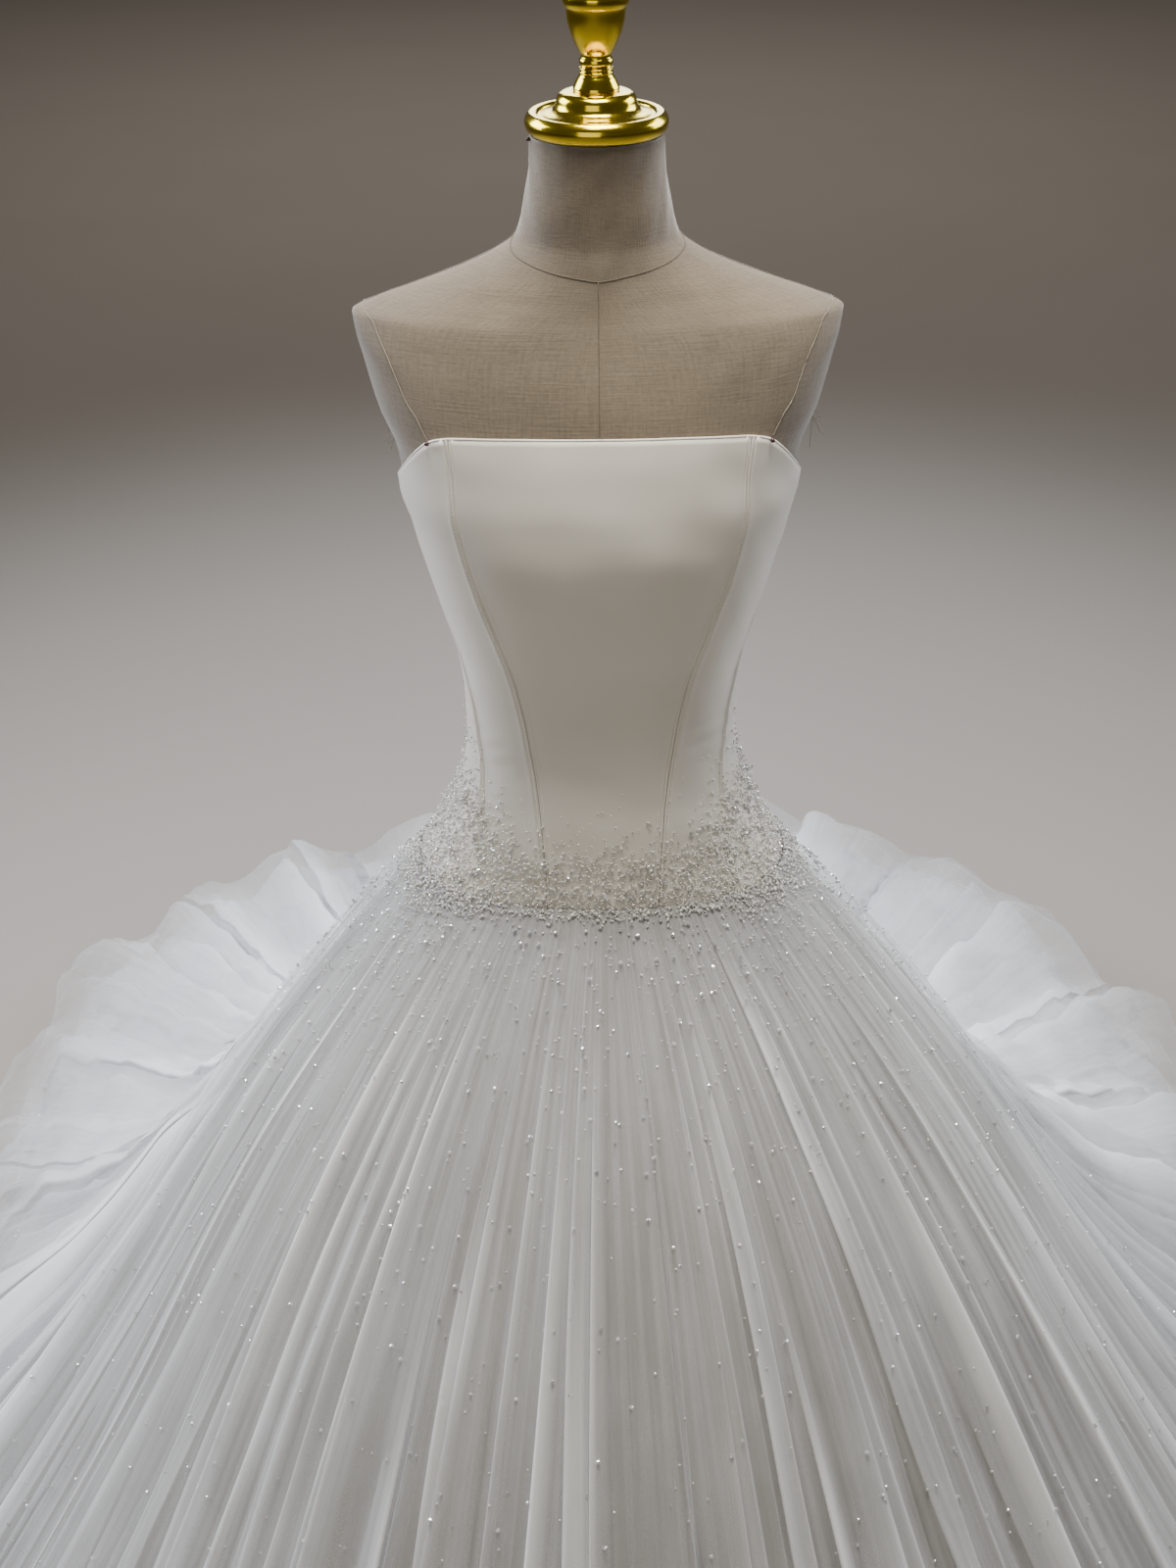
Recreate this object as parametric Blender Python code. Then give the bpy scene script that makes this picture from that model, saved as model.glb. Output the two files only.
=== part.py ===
"""A strapless ball gown with a long train, worn by a limbless dress form on a pole stand.

Metres, +Z up. The origin is on the floor, at the middle of the stand's round base.
The gown's front faces -Y, the train runs towards +Y, and left is the wearer's left, +X.
Run with blender --background --python part.py, or from the text editor.
"""

import math
from collections import namedtuple

import bmesh
import bpy
import numpy as np

# Driving sizes
WAIST_SEAM_Z = 0.895
NECKLINE_FRONT_Z = 1.305
NECKLINE_SIDE_Z = 1.243
NECKLINE_BACK_Z = 1.195
TRAIN_HEM_REACH = 1.50
SIDE_HEM_REACH = 0.738

# Cloth
SEAM_GAP = 0.0003
FORM_CLEARANCE = 0.0017
BODICE_WALL = 0.0021
SKIRT_WALL = 0.0024
BODICE_EASE = FORM_CLEARANCE + BODICE_WALL

# Skirt gathers
GORES = ("front", "front_left", "side_left", "back_left", "train", "back_right", "side_right", "front_right")
PLEATS_PER_GORE = 9
PLEATS = PLEATS_PER_GORE * len(GORES)
COLUMNS_PER_PLEAT = 3
PLEAT_SHAPE = (1.0, -0.15, -0.85)
PLEATS_PER_RUFFLE = 2.6

# Dress form and stand
FORM_COLUMNS = 36
FORM_BOTTOM_Z = 0.77
NECK_TOP_Z = 1.508
POLE_RADIUS = 0.0125
BASE_RADIUS = 0.17
BASE_HEIGHT = 0.012
TURNED_STEPS = 28
PIN_HEAD_RADIUS = 0.0019
PIN_ANGLE = math.radians(45)
PIN_BELOW_EDGE = 0.0008

# Horizontal sections of the dress form: half width, reach to the front and to the back,
# and how square the outline is (2 is an ellipse, less is a pinched lens).
Section = namedtuple("Section", "z half_width front back squareness")
FORM_SECTIONS = (
    Section(0.770, 0.148, 0.103, 0.116, 2.3),
    Section(0.800, 0.156, 0.107, 0.122, 2.3),
    Section(0.850, 0.157, 0.109, 0.121, 2.3),
    Section(0.895, 0.152, 0.108, 0.114, 2.3),
    Section(0.930, 0.1339, 0.102, 0.105, 2.3),
    Section(0.960, 0.1215, 0.096, 0.098, 2.3),
    Section(0.985, 0.1131, 0.090, 0.093, 2.3),
    Section(1.015, 0.1082, 0.086, 0.090, 2.3),
    Section(1.045, 0.1087, 0.0865, 0.089, 2.3),
    Section(1.090, 0.1140, 0.093, 0.091, 2.3),
    Section(1.135, 0.1260, 0.106, 0.095, 2.3),
    Section(1.180, 0.1387, 0.1175, 0.099, 2.35),
    Section(1.210, 0.1467, 0.121, 0.102, 2.4),
    Section(1.240, 0.1548, 0.119, 0.104, 2.45),
    Section(1.270, 0.1589, 0.113, 0.106, 2.45),
    Section(1.305, 0.1728, 0.104, 0.105, 2.35),
    Section(1.340, 0.1824, 0.091, 0.100, 2.2),
    Section(1.362, 0.1883, 0.081, 0.093, 2.0),
    Section(1.375, 0.1896, 0.075, 0.087, 1.8),
    Section(1.384, 0.1732, 0.071, 0.083, 1.6),
    Section(1.396, 0.1403, 0.067, 0.077, 1.45),
    Section(1.409, 0.1049, 0.063, 0.071, 1.45),
    Section(1.421, 0.0789, 0.060, 0.065, 1.55),
    Section(1.434, 0.0618, 0.056, 0.060, 1.8),
    Section(1.460, 0.0553, 0.053, 0.055, 2.0),
    Section(1.486, 0.0514, 0.0505, 0.051, 2.0),
    Section(NECK_TOP_Z, 0.0505, 0.0500, 0.0505, 2.0),
)

# Seams of the bodice, as the angle round the body from the front, by height.
# The first is the princess seam, the second the side-front seam, the third is behind the arm.
SeamPoint = namedtuple("SeamPoint", "z princess side_front side_back")
BODICE_SEAMS = (
    SeamPoint(0.895, 14.0, 42.0, 122.0),
    SeamPoint(0.930, 17.0, 46.5, 121.0),
    SeamPoint(0.965, 20.7, 52.0, 120.0),
    SeamPoint(1.020, 27.0, 61.0, 120.0),
    SeamPoint(1.080, 31.8, 70.0, 121.0),
    SeamPoint(1.122, 35.3, 76.0, 122.0),
    SeamPoint(1.165, 38.6, 82.0, 124.0),
    SeamPoint(1.214, 40.3, 87.0, 126.0),
    SeamPoint(1.260, 39.4, 90.0, 127.0),
    SeamPoint(1.305, 37.2, 92.0, 127.0),
)

# The top edge of the bodice, by angle from the front: nearly straight, then a rounded corner.
NECKLINE = (
    (0.0, NECKLINE_FRONT_Z),
    (14.0, 1.3046),
    (26.0, 1.3032),
    (36.0, 1.3013),
    (41.0, 1.2990),
    (46.0, 1.2952),
    (51.0, 1.2890),
    (60.0, 1.2772),
    (68.0, 1.2665),
    (76.0, 1.2563),
    (90.0, NECKLINE_SIDE_Z),
    (130.0, 1.213),
    (180.0, NECKLINE_BACK_Z),
)

# How far the hem reaches from the pole, by angle from the front.
HEM_OUTLINE = (
    (0.0, SIDE_HEM_REACH),
    (60.0, SIDE_HEM_REACH),
    (80.0, 0.745),
    (95.0, 0.765),
    (110.0, 0.830),
    (124.0, 0.955),
    (136.0, 1.110),
    (149.0, 1.290),
    (160.0, 1.410),
    (170.0, 1.475),
    (180.0, TRAIN_HEM_REACH),
)

# Rings of the skirt, waist to hem: where they lie in front and on the train's middle line,
# how much of the waist's oval is left, and how deep the gathers, broad folds and hem lifts are.
SkirtRing = namedtuple(
    "SkirtRing", "front_reach front_z train_reach train_z oval pleat_depth fold_depth train_wave"
)
SKIRT_RINGS = (
    SkirtRing(0.158, 0.895, 0.158, 0.895, 1.00, 0.0008, 0.000, 0.000),
    SkirtRing(0.198, 0.850, 0.198, 0.850, 0.75, 0.0025, 0.000, 0.000),
    SkirtRing(0.248, 0.785, 0.258, 0.765, 0.50, 0.0045, 0.002, 0.000),
    SkirtRing(0.308, 0.700, 0.345, 0.645, 0.30, 0.0065, 0.004, 0.000),
    SkirtRing(0.377, 0.590, 0.455, 0.495, 0.12, 0.0085, 0.006, 0.004),
    SkirtRing(0.446, 0.470, 0.615, 0.330, 0.00, 0.0105, 0.008, 0.012),
    SkirtRing(0.524, 0.340, 0.900, 0.195, 0.00, 0.0125, 0.010, 0.026),
    SkirtRing(0.624, 0.180, 1.395, 0.105, 0.00, 0.0145, 0.012, 0.045),
    SkirtRing(SIDE_HEM_REACH, 0.000, TRAIN_HEM_REACH, 0.000, 0.00, 0.0165, 0.012, 0.065),
)

# Turned profiles as radius and height above the piece's underside.
CAP_PROFILE = (
    (0.0000, 0.0305),
    (0.0200, 0.0305),
    (0.0245, 0.0300),
    (0.0280, 0.0280),
    (0.0298, 0.0250),
    (0.0304, 0.0215),
    (0.0318, 0.0188),
    (0.0350, 0.0167),
    (0.0395, 0.0150),
    (0.0435, 0.0133),
    (0.0443, 0.0142),
    (0.0465, 0.0158),
    (0.0492, 0.0158),
    (0.0518, 0.0138),
    (0.0535, 0.0110),
    (0.0540, 0.0078),
    (0.0533, 0.0042),
    (0.0515, 0.0014),
    (0.0495, 0.0000),
    (0.0000, 0.0000),
)
FINIAL_PROFILE = (
    (0.0000, 0.1210),
    (0.0045, 0.1195),
    (0.0075, 0.1150),
    (0.0075, 0.1105),
    (0.0050, 0.1065),
    (0.0090, 0.1030),
    (0.0165, 0.0965),
    (0.0215, 0.0860),
    (0.0235, 0.0750),
    (0.0240, 0.0690),
    (0.0248, 0.0665),
    (0.0247, 0.0635),
    (0.0236, 0.0605),
    (0.0226, 0.0590),
    (0.0214, 0.0500),
    (0.0194, 0.0424),
    (0.0161, 0.0344),
    (0.0128, 0.0280),
    (0.0114, 0.0258),
    (0.0112, 0.0240),
    (0.0124, 0.0225),
    (0.0127, 0.0205),
    (0.0122, 0.0185),
    (0.0112, 0.0173),
    (0.0129, 0.0159),
    (0.0116, 0.0145),
    (0.0129, 0.0131),
    (0.0124, 0.0118),
    (0.0142, 0.0087),
    (0.0162, 0.0046),
    (0.0173, 0.0014),
    (0.0172, 0.0000),
    (0.0000, 0.0000),
)

Finish = namedtuple("Finish", "name color roughness metallic")
SATIN = Finish("ivory_satin", (0.86, 0.84, 0.80), 0.35, 0.0)
TULLE = Finish("white_tulle", (0.88, 0.88, 0.86), 0.80, 0.0)
LINEN = Finish("natural_linen", (0.60, 0.54, 0.45), 0.90, 0.0)
GOLD = Finish("polished_gold", (0.80, 0.58, 0.12), 0.12, 1.0)
STEEL = Finish("grey_steel", (0.45, 0.45, 0.46), 0.40, 1.0)
BLACK = Finish("black_enamel", (0.03, 0.02, 0.02), 0.35, 0.0)


def material(finish):
    """The Blender material of a finish, made once."""
    made = bpy.data.materials.get(finish.name)
    if made:
        return made
    made = bpy.data.materials.new(finish.name)
    made.use_nodes = True
    shader = made.node_tree.nodes["Principled BSDF"]
    shader.inputs["Base Color"].default_value = (*finish.color, 1.0)
    shader.inputs["Roughness"].default_value = finish.roughness
    shader.inputs["Metallic"].default_value = finish.metallic
    return made


def add_object(name, mesh_builder, finish):
    """Turns a bmesh into a named, linked object with its material."""
    bmesh.ops.recalc_face_normals(mesh_builder, faces=mesh_builder.faces)
    mesh = bpy.data.meshes.new(name)
    mesh_builder.to_mesh(mesh)
    mesh_builder.free()
    mesh.shade_smooth()
    mesh.set_sharp_from_angle(angle=math.radians(40))
    mesh.materials.append(material(finish))
    piece = bpy.data.objects.new(name, mesh)
    bpy.context.scene.collection.objects.link(piece)
    return piece


def smooth_curve(knots, values, at):
    """A smooth curve through the knots (cubic Hermite with finite-difference slopes)."""
    knots = np.asarray(knots, float)
    values = np.asarray(values, float)
    at = np.clip(at, knots[0], knots[-1])
    step = np.diff(knots)
    secant = np.diff(values) / step
    slope = np.empty_like(values)
    slope[0], slope[-1] = secant[0], secant[-1]
    before, after = secant[:-1], secant[1:]
    same_way = before * after > 0
    weighted = 2 * before * after / np.where(same_way, before + after, 1.0)
    slope[1:-1] = np.where(same_way, weighted, 0.0)
    k = np.clip(np.searchsorted(knots, at, side="right") - 1, 0, len(step) - 1)
    t = (at - knots[k]) / step[k]
    return (
        values[k] * (1 + 2 * t) * (1 - t) ** 2
        + slope[k] * step[k] * t * (1 - t) ** 2
        + values[k + 1] * t * t * (3 - 2 * t)
        + slope[k + 1] * step[k] * t * t * (t - 1)
    )


def form_section(z):
    """The dress form's section at one height."""
    heights = [s.z for s in FORM_SECTIONS]
    sizes = [
        float(smooth_curve(heights, [getattr(s, size) for s in FORM_SECTIONS], z))
        for size in ("half_width", "front", "back", "squareness")
    ]
    return Section(z, *sizes)


def around(section, angle, grow=0.0):
    """The point of a section, moved out by grow, at a parameter angle from the front."""
    power = 2.0 / section.squareness
    side = math.sin(angle)
    ahead = math.cos(angle)
    depth = section.front if ahead >= 0 else section.back
    x = math.copysign(abs(side) ** power, side) * (section.half_width + grow)
    y = -math.copysign(abs(ahead) ** power, ahead) * (depth + grow)
    return np.array((x, y, section.z))


def reach_at(section, angle, grow=0.0):
    """How far a section, moved out by grow, reaches from the axis in a true direction."""
    side = abs(math.sin(angle)) / (section.half_width + grow)
    depth = section.front if math.cos(angle) >= 0 else section.back
    ahead = abs(math.cos(angle)) / (depth + grow)
    n = section.squareness
    return (side**n + ahead**n) ** (-1.0 / n)


def from_table(table, degrees):
    """A value read smoothly from a table of angles from the front, the same on both sides."""
    folded = abs((degrees + 180.0) % 360.0 - 180.0)
    return float(smooth_curve([row[0] for row in table], [row[1] for row in table], folded))


def add_wall(name, outer, inner, finish):
    """A closed sheet of cloth between two grids of points, rows from top to bottom."""
    rows, columns = outer.shape[:2]
    builder = bmesh.new()
    out = [[builder.verts.new(outer[r, c]) for c in range(columns)] for r in range(rows)]
    back = [[builder.verts.new(inner[r, c]) for c in range(columns)] for r in range(rows)]
    for r in range(rows - 1):
        for c in range(columns - 1):
            builder.faces.new((out[r][c], out[r + 1][c], out[r + 1][c + 1], out[r][c + 1]))
            builder.faces.new((back[r][c], back[r][c + 1], back[r + 1][c + 1], back[r + 1][c]))
    for c in range(columns - 1):
        builder.faces.new((out[0][c], out[0][c + 1], back[0][c + 1], back[0][c]))
        builder.faces.new((out[-1][c + 1], out[-1][c], back[-1][c], back[-1][c + 1]))
    for r in range(rows - 1):
        builder.faces.new((out[r + 1][0], out[r][0], back[r][0], back[r + 1][0]))
        builder.faces.new((out[r][-1], out[r + 1][-1], back[r + 1][-1], back[r][-1]))
    return add_object(name, builder, finish)


def add_dress_form():
    """The linen-covered torso, hips to neck, as one closed loft of its sections."""
    builder = bmesh.new()
    rings = []
    for section in FORM_SECTIONS:
        angles = [2 * math.pi * c / FORM_COLUMNS for c in range(FORM_COLUMNS)]
        rings.append([builder.verts.new(around(section, a)) for a in angles])
    for below, above in zip(rings, rings[1:]):
        for c in range(FORM_COLUMNS):
            d = (c + 1) % FORM_COLUMNS
            builder.faces.new((below[c], below[d], above[d], above[c]))
    builder.faces.new(rings[0])
    builder.faces.new(rings[-1])
    return add_object("form_torso", builder, LINEN)


def add_turned(name, profile, bottom_z, finish):
    """A piece turned on a lathe about the vertical axis, with a Screw modifier."""
    mesh = bpy.data.meshes.new(name)
    points = [(radius, 0.0, height) for radius, height in profile]
    mesh.from_pydata(points, [(k, k + 1) for k in range(len(points) - 1)], [])
    mesh.materials.append(material(finish))
    piece = bpy.data.objects.new(name, mesh)
    piece.location.z = bottom_z
    bpy.context.scene.collection.objects.link(piece)
    turn = piece.modifiers.new("Turn", "SCREW")
    turn.axis = "Z"
    turn.steps = turn.render_steps = TURNED_STEPS
    turn.use_merge_vertices = True
    turn.merge_threshold = 0.0001
    turn.use_smooth_shade = True
    return piece


def add_stand():
    """The round floor plate and the pole that carry the form."""
    plate = bmesh.new()
    bmesh.ops.create_cone(
        plate, cap_ends=True, segments=48, radius1=BASE_RADIUS, radius2=BASE_RADIUS, depth=BASE_HEIGHT
    )
    bmesh.ops.translate(plate, verts=plate.verts, vec=(0, 0, BASE_HEIGHT / 2))
    add_object("stand_base", plate, STEEL)
    pole_bottom = BASE_HEIGHT + SEAM_GAP
    pole_top = FORM_BOTTOM_Z - SEAM_GAP
    pole = bmesh.new()
    bmesh.ops.create_cone(
        pole, cap_ends=True, segments=20, radius1=POLE_RADIUS, radius2=POLE_RADIUS, depth=pole_top - pole_bottom
    )
    bmesh.ops.translate(pole, verts=pole.verts, vec=(0, 0, (pole_top + pole_bottom) / 2))
    add_object("stand_pole", pole, STEEL)


def seam_angle(which, z):
    """The angle from the front of one of the bodice's seams at a height, in radians."""
    heights = [s.z for s in BODICE_SEAMS]
    return math.radians(float(smooth_curve(heights, [getattr(s, which) for s in BODICE_SEAMS], z)))


def neckline_z(angle):
    return from_table(NECKLINE, math.degrees(angle))


def bodice_point(angle, z, grow):
    return around(form_section(z), angle, grow)


def add_bodice_panel(name, left_edge, right_edge, columns, rows=14):
    """One cut panel, between two seams given as functions of height."""
    bottom = WAIST_SEAM_Z + SEAM_GAP
    outer = np.empty((rows + 1, columns + 1, 3))
    inner = np.empty_like(outer)
    for c in range(columns + 1):
        share = c / columns
        top_guess = NECKLINE_SIDE_Z
        for _ in range(6):
            top_angle = left_edge(top_guess) * (1 - share) + right_edge(top_guess) * share
            top_guess = neckline_z(top_angle)
        for r in range(rows + 1):
            z = top_guess + (bottom - top_guess) * r / rows
            angle = left_edge(z) * (1 - share) + right_edge(z) * share
            if c in (0, columns):
                towards = math.copysign(1e-3, right_edge(z) - left_edge(z)) * (1 if c == 0 else -1)
                step = bodice_point(angle + towards, z, BODICE_EASE) - bodice_point(angle, z, BODICE_EASE)
                angle += towards * (SEAM_GAP / 2) / np.linalg.norm(step)
            outer[r, c] = bodice_point(angle, z, BODICE_EASE)
            inner[r, c] = bodice_point(angle, z, FORM_CLEARANCE)
    return add_wall(name, outer, inner, SATIN)


def add_bodice():
    """Seven panels: the centre front, and on each side the side front, side and back."""

    def edge(which, sign):
        return lambda z: sign * seam_angle(which, z)

    def centre_back(sign):
        return lambda z: sign * math.pi

    add_bodice_panel("bodice_centre_front", edge("princess", -1), edge("princess", 1), 12)
    for side, sign in (("left", 1), ("right", -1)):
        add_bodice_panel(f"bodice_side_front_{side}", edge("princess", sign), edge("side_front", sign), 6)
        add_bodice_panel(f"bodice_side_{side}", edge("side_front", sign), edge("side_back", sign), 8)
        add_bodice_panel(f"bodice_back_{side}", edge("side_back", sign), centre_back(sign), 6)


def pleat_edges():
    """The true direction of each pleat's first edge: closer together where the hem is longer."""
    fine = np.linspace(0.0, 360.0, 1441)
    reach = np.array([from_table(HEM_OUTLINE, d) for d in fine])
    density = 0.55 + 0.45 * reach / SIDE_HEM_REACH
    gathered = np.concatenate(([0.0], np.cumsum((density[1:] + density[:-1]) / 2)))
    gathered *= PLEATS / gathered[-1]
    shift = PLEATS_PER_GORE / 2
    wanted = (np.arange(PLEATS * COLUMNS_PER_PLEAT + 1) / COLUMNS_PER_PLEAT - shift) % PLEATS
    return np.radians(np.interp(wanted, gathered, fine))


def skirt_base(angle, ring, waist):
    """The smooth skirt's point and outward normal on a ring, in a true direction."""
    train = (from_table(HEM_OUTLINE, math.degrees(angle)) - SIDE_HEM_REACH) / (TRAIN_HEM_REACH - SIDE_HEM_REACH)

    def place(k):
        row = SKIRT_RINGS[k]
        reach = row.front_reach + (row.train_reach - row.front_reach) * train
        reach -= (waist.half_width + BODICE_EASE - reach_at(waist, angle, BODICE_EASE)) * row.oval
        return np.array((reach, row.front_z + (row.train_z - row.front_z) * train))

    here = place(ring)
    tangent = place(min(ring + 1, len(SKIRT_RINGS) - 1)) - place(max(ring - 1, 0))
    tangent /= np.linalg.norm(tangent)
    outward = np.array((-tangent[1], tangent[0]))
    if ring in (0, len(SKIRT_RINGS) - 1):
        outward = np.array((1.0, 0.0))
    way = np.array((math.sin(angle), -math.cos(angle), 0.0))
    up = np.array((0.0, 0.0, 1.0))
    return way * here[0] + up * here[1], way * outward[0] + up * outward[1], way, train


def pleat_strength(pleat):
    """Gathers aren't even: some stand out and some nearly vanish."""
    return 0.85 + 0.35 * math.sin(2.4 * pleat + 0.7) * math.cos(1.1 * pleat)


def ruffle(pleat):
    """How far the train's edge is lifted there, from 0 on the floor to 1."""
    return 0.5 + 0.5 * math.sin(2 * math.pi * pleat / PLEATS_PER_RUFFLE + 0.9) * math.cos(0.9 * pleat)


def skirt_points(angle, column, ring, waist):
    """Outer and inner points of the gathered skirt on one column and ring."""
    row = SKIRT_RINGS[ring]
    point, outward, way, train = skirt_base(angle, ring, waist)
    pleat, part = divmod(column, COLUMNS_PER_PLEAT)
    depth = row.pleat_depth * pleat_strength(pleat) * PLEAT_SHAPE[part] * (1 + 0.6 * train)
    depth += row.fold_depth * 0.5 * (math.sin(7 * angle + 0.5) + 0.7 * math.sin(12 * angle + 1.3))
    outer = point + outward * depth
    outer[2] += row.train_wave * train * ruffle(column / COLUMNS_PER_PLEAT)
    if ring in (0, len(SKIRT_RINGS) - 1):
        return outer, outer - way * SKIRT_WALL
    return outer, outer - outward * SKIRT_WALL


def add_skirt():
    """Eight gathered gores from the waist seam to the hem, the back ones running into the train."""
    waist = form_section(WAIST_SEAM_Z)
    edges = pleat_edges()
    per_gore = PLEATS_PER_GORE * COLUMNS_PER_PLEAT
    for k, gore in enumerate(GORES):
        outer = np.empty((len(SKIRT_RINGS), per_gore + 1, 3))
        inner = np.empty_like(outer)
        for c in range(per_gore + 1):
            column = k * per_gore + c
            for r in range(len(SKIRT_RINGS)):
                angle = edges[column % (PLEATS * COLUMNS_PER_PLEAT)]
                if c in (0, per_gore):
                    reach = np.linalg.norm(skirt_base(angle, r, waist)[0][:2])
                    angle += (1 if c == 0 else -1) * (SEAM_GAP / 2) / reach
                outer[r, c], inner[r, c] = skirt_points(angle, column % (PLEATS * COLUMNS_PER_PLEAT), r, waist)
        add_wall(f"skirt_{gore}", outer, inner, TULLE)


def add_pins():
    """The two pin heads that hold the bodice's top corners to the form."""
    for side, sign in (("left", 1), ("right", -1)):
        builder = bmesh.new()
        bmesh.ops.create_uvsphere(builder, u_segments=10, v_segments=6, radius=PIN_HEAD_RADIUS)
        seat = BODICE_EASE + SEAM_GAP + PIN_HEAD_RADIUS
        place = bodice_point(sign * PIN_ANGLE, neckline_z(PIN_ANGLE) - PIN_BELOW_EDGE, seat)
        bmesh.ops.translate(builder, verts=builder.verts, vec=place)
        add_object(f"pin_{side}", builder, BLACK)


def main():
    for old in list(bpy.data.objects):
        bpy.data.objects.remove(old)
    add_stand()
    add_dress_form()
    cap_bottom = NECK_TOP_Z + SEAM_GAP
    add_turned("neck_cap", CAP_PROFILE, cap_bottom, GOLD)
    add_turned("finial", FINIAL_PROFILE, cap_bottom + CAP_PROFILE[0][1] + SEAM_GAP, GOLD)
    add_bodice()
    add_skirt()
    add_pins()


main()
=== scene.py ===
"""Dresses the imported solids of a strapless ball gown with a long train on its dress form.

Everything is in metres in the solids' own frame: +Z up, the origin on the floor under the
pole, the gown's front towards -Y, the train towards +Y and the wearer's left at +X.
"""

import math
from collections import namedtuple

import bmesh
import bpy
import numpy as np
from mathutils import Matrix, Vector


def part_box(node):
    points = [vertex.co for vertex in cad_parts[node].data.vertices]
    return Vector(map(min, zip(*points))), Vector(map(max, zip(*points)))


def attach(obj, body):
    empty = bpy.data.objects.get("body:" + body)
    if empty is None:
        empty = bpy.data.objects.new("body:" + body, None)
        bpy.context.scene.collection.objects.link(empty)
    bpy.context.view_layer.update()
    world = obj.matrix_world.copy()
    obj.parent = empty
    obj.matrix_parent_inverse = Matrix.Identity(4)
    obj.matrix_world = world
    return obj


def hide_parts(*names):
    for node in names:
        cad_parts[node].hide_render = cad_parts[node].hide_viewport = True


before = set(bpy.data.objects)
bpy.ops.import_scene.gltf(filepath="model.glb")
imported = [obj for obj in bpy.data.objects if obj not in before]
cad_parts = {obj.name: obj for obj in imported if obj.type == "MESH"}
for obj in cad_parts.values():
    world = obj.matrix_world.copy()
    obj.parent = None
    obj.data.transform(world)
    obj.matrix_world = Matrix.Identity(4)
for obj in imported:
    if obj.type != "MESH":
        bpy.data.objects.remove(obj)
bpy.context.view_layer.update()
FORM_LOW, FORM_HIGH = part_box("form_torso")
CAP_LOW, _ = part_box("neck_cap")
FINIAL_LOW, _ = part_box("finial")
BODICE_LOW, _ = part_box("bodice_centre_front")

bl_info = {
    "name": "Ball Gown on Dress Form",
    "version": (1, 0, 0),
    "blender": (4, 5, 0),
    "location": "3D View > Sidebar > Gown",
    "description": "Dresses the solids of a ball gown and its dress form in cloth, tulle, beads and brass",
    "category": "Object",
}

SEED = 20
TURN = 2 * math.pi
UP = np.array((0.0, 0.0, 1.0))

# The camera stands where the photograph's did, worked out from the ovals of the cap and hem.
CAMERA_PLACE = (-0.0115, -1.775, 1.9038)
CAMERA_TILT_DOWN = math.radians(28.06)
CAMERA_ROLL = math.radians(-0.6)
CAMERA_LENS_MM = 54.0


def table(columns, *rows):
    """Rows of values with named columns."""
    kind = namedtuple("Row", columns)
    return tuple(kind(*row) for row in rows)


def column(rows, name):
    """The values in one column of a table."""
    return np.array([getattr(row, name) for row in rows])


# Driving sizes, the same as the solids'
WAIST_SEAM_Z = BODICE_LOW.z
NECKLINE_FRONT_Z = 1.305
NECKLINE_SIDE_Z = 1.243
NECKLINE_BACK_Z = 1.195
TRAIN_HEM_REACH = 1.50
SIDE_HEM_REACH = 0.738
BODICE_WALL = 0.0021
BODICE_EASE = 0.0038
PLEATS = 72
PLEATS_PER_GORE = 9
PLEATS_PER_RUFFLE = 2.6

# Horizontal sections of the dress form. Half width and reach to the front and back are in metres,
# and squareness is 2 for an ellipse and less for a pinched lens.
FORM_SECTIONS = table(
    "z half_width front back squareness",
    (0.770, 0.148, 0.103, 0.116, 2.3),
    (0.800, 0.156, 0.107, 0.122, 2.3),
    (0.850, 0.157, 0.109, 0.121, 2.3),
    (0.895, 0.152, 0.108, 0.114, 2.3),
    (0.930, 0.1339, 0.102, 0.105, 2.3),
    (0.960, 0.1215, 0.096, 0.098, 2.3),
    (0.985, 0.1131, 0.090, 0.093, 2.3),
    (1.015, 0.1082, 0.086, 0.090, 2.3),
    (1.045, 0.1087, 0.0865, 0.089, 2.3),
    (1.090, 0.1140, 0.093, 0.091, 2.3),
    (1.135, 0.1260, 0.106, 0.095, 2.3),
    (1.180, 0.1387, 0.1175, 0.099, 2.35),
    (1.210, 0.1467, 0.121, 0.102, 2.4),
    (1.240, 0.1548, 0.119, 0.104, 2.45),
    (1.270, 0.1589, 0.113, 0.106, 2.45),
    (1.305, 0.1728, 0.104, 0.105, 2.35),
    (1.340, 0.1824, 0.091, 0.100, 2.2),
    (1.362, 0.1883, 0.081, 0.093, 2.0),
    (1.375, 0.1896, 0.075, 0.087, 1.8),
    (1.384, 0.1732, 0.071, 0.083, 1.6),
    (1.396, 0.1403, 0.067, 0.077, 1.45),
    (1.409, 0.1049, 0.063, 0.071, 1.45),
    (1.421, 0.0789, 0.060, 0.065, 1.55),
    (1.434, 0.0618, 0.056, 0.060, 1.8),
    (1.460, 0.0553, 0.053, 0.055, 2.0),
    (1.486, 0.0514, 0.0505, 0.051, 2.0),
    (1.508, 0.0505, 0.0500, 0.0505, 2.0),
)

# Seams of the bodice, as degrees round the body from the front, by height.
BODICE_SEAMS = table(
    "z princess side_front side_back",
    (0.895, 14.0, 42.0, 122.0),
    (0.930, 17.0, 46.5, 121.0),
    (0.965, 20.7, 52.0, 120.0),
    (1.020, 27.0, 61.0, 120.0),
    (1.080, 31.8, 70.0, 121.0),
    (1.122, 35.3, 76.0, 122.0),
    (1.165, 38.6, 82.0, 124.0),
    (1.214, 40.3, 87.0, 126.0),
    (1.260, 39.4, 90.0, 127.0),
    (1.305, 37.2, 92.0, 127.0),
)

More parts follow.
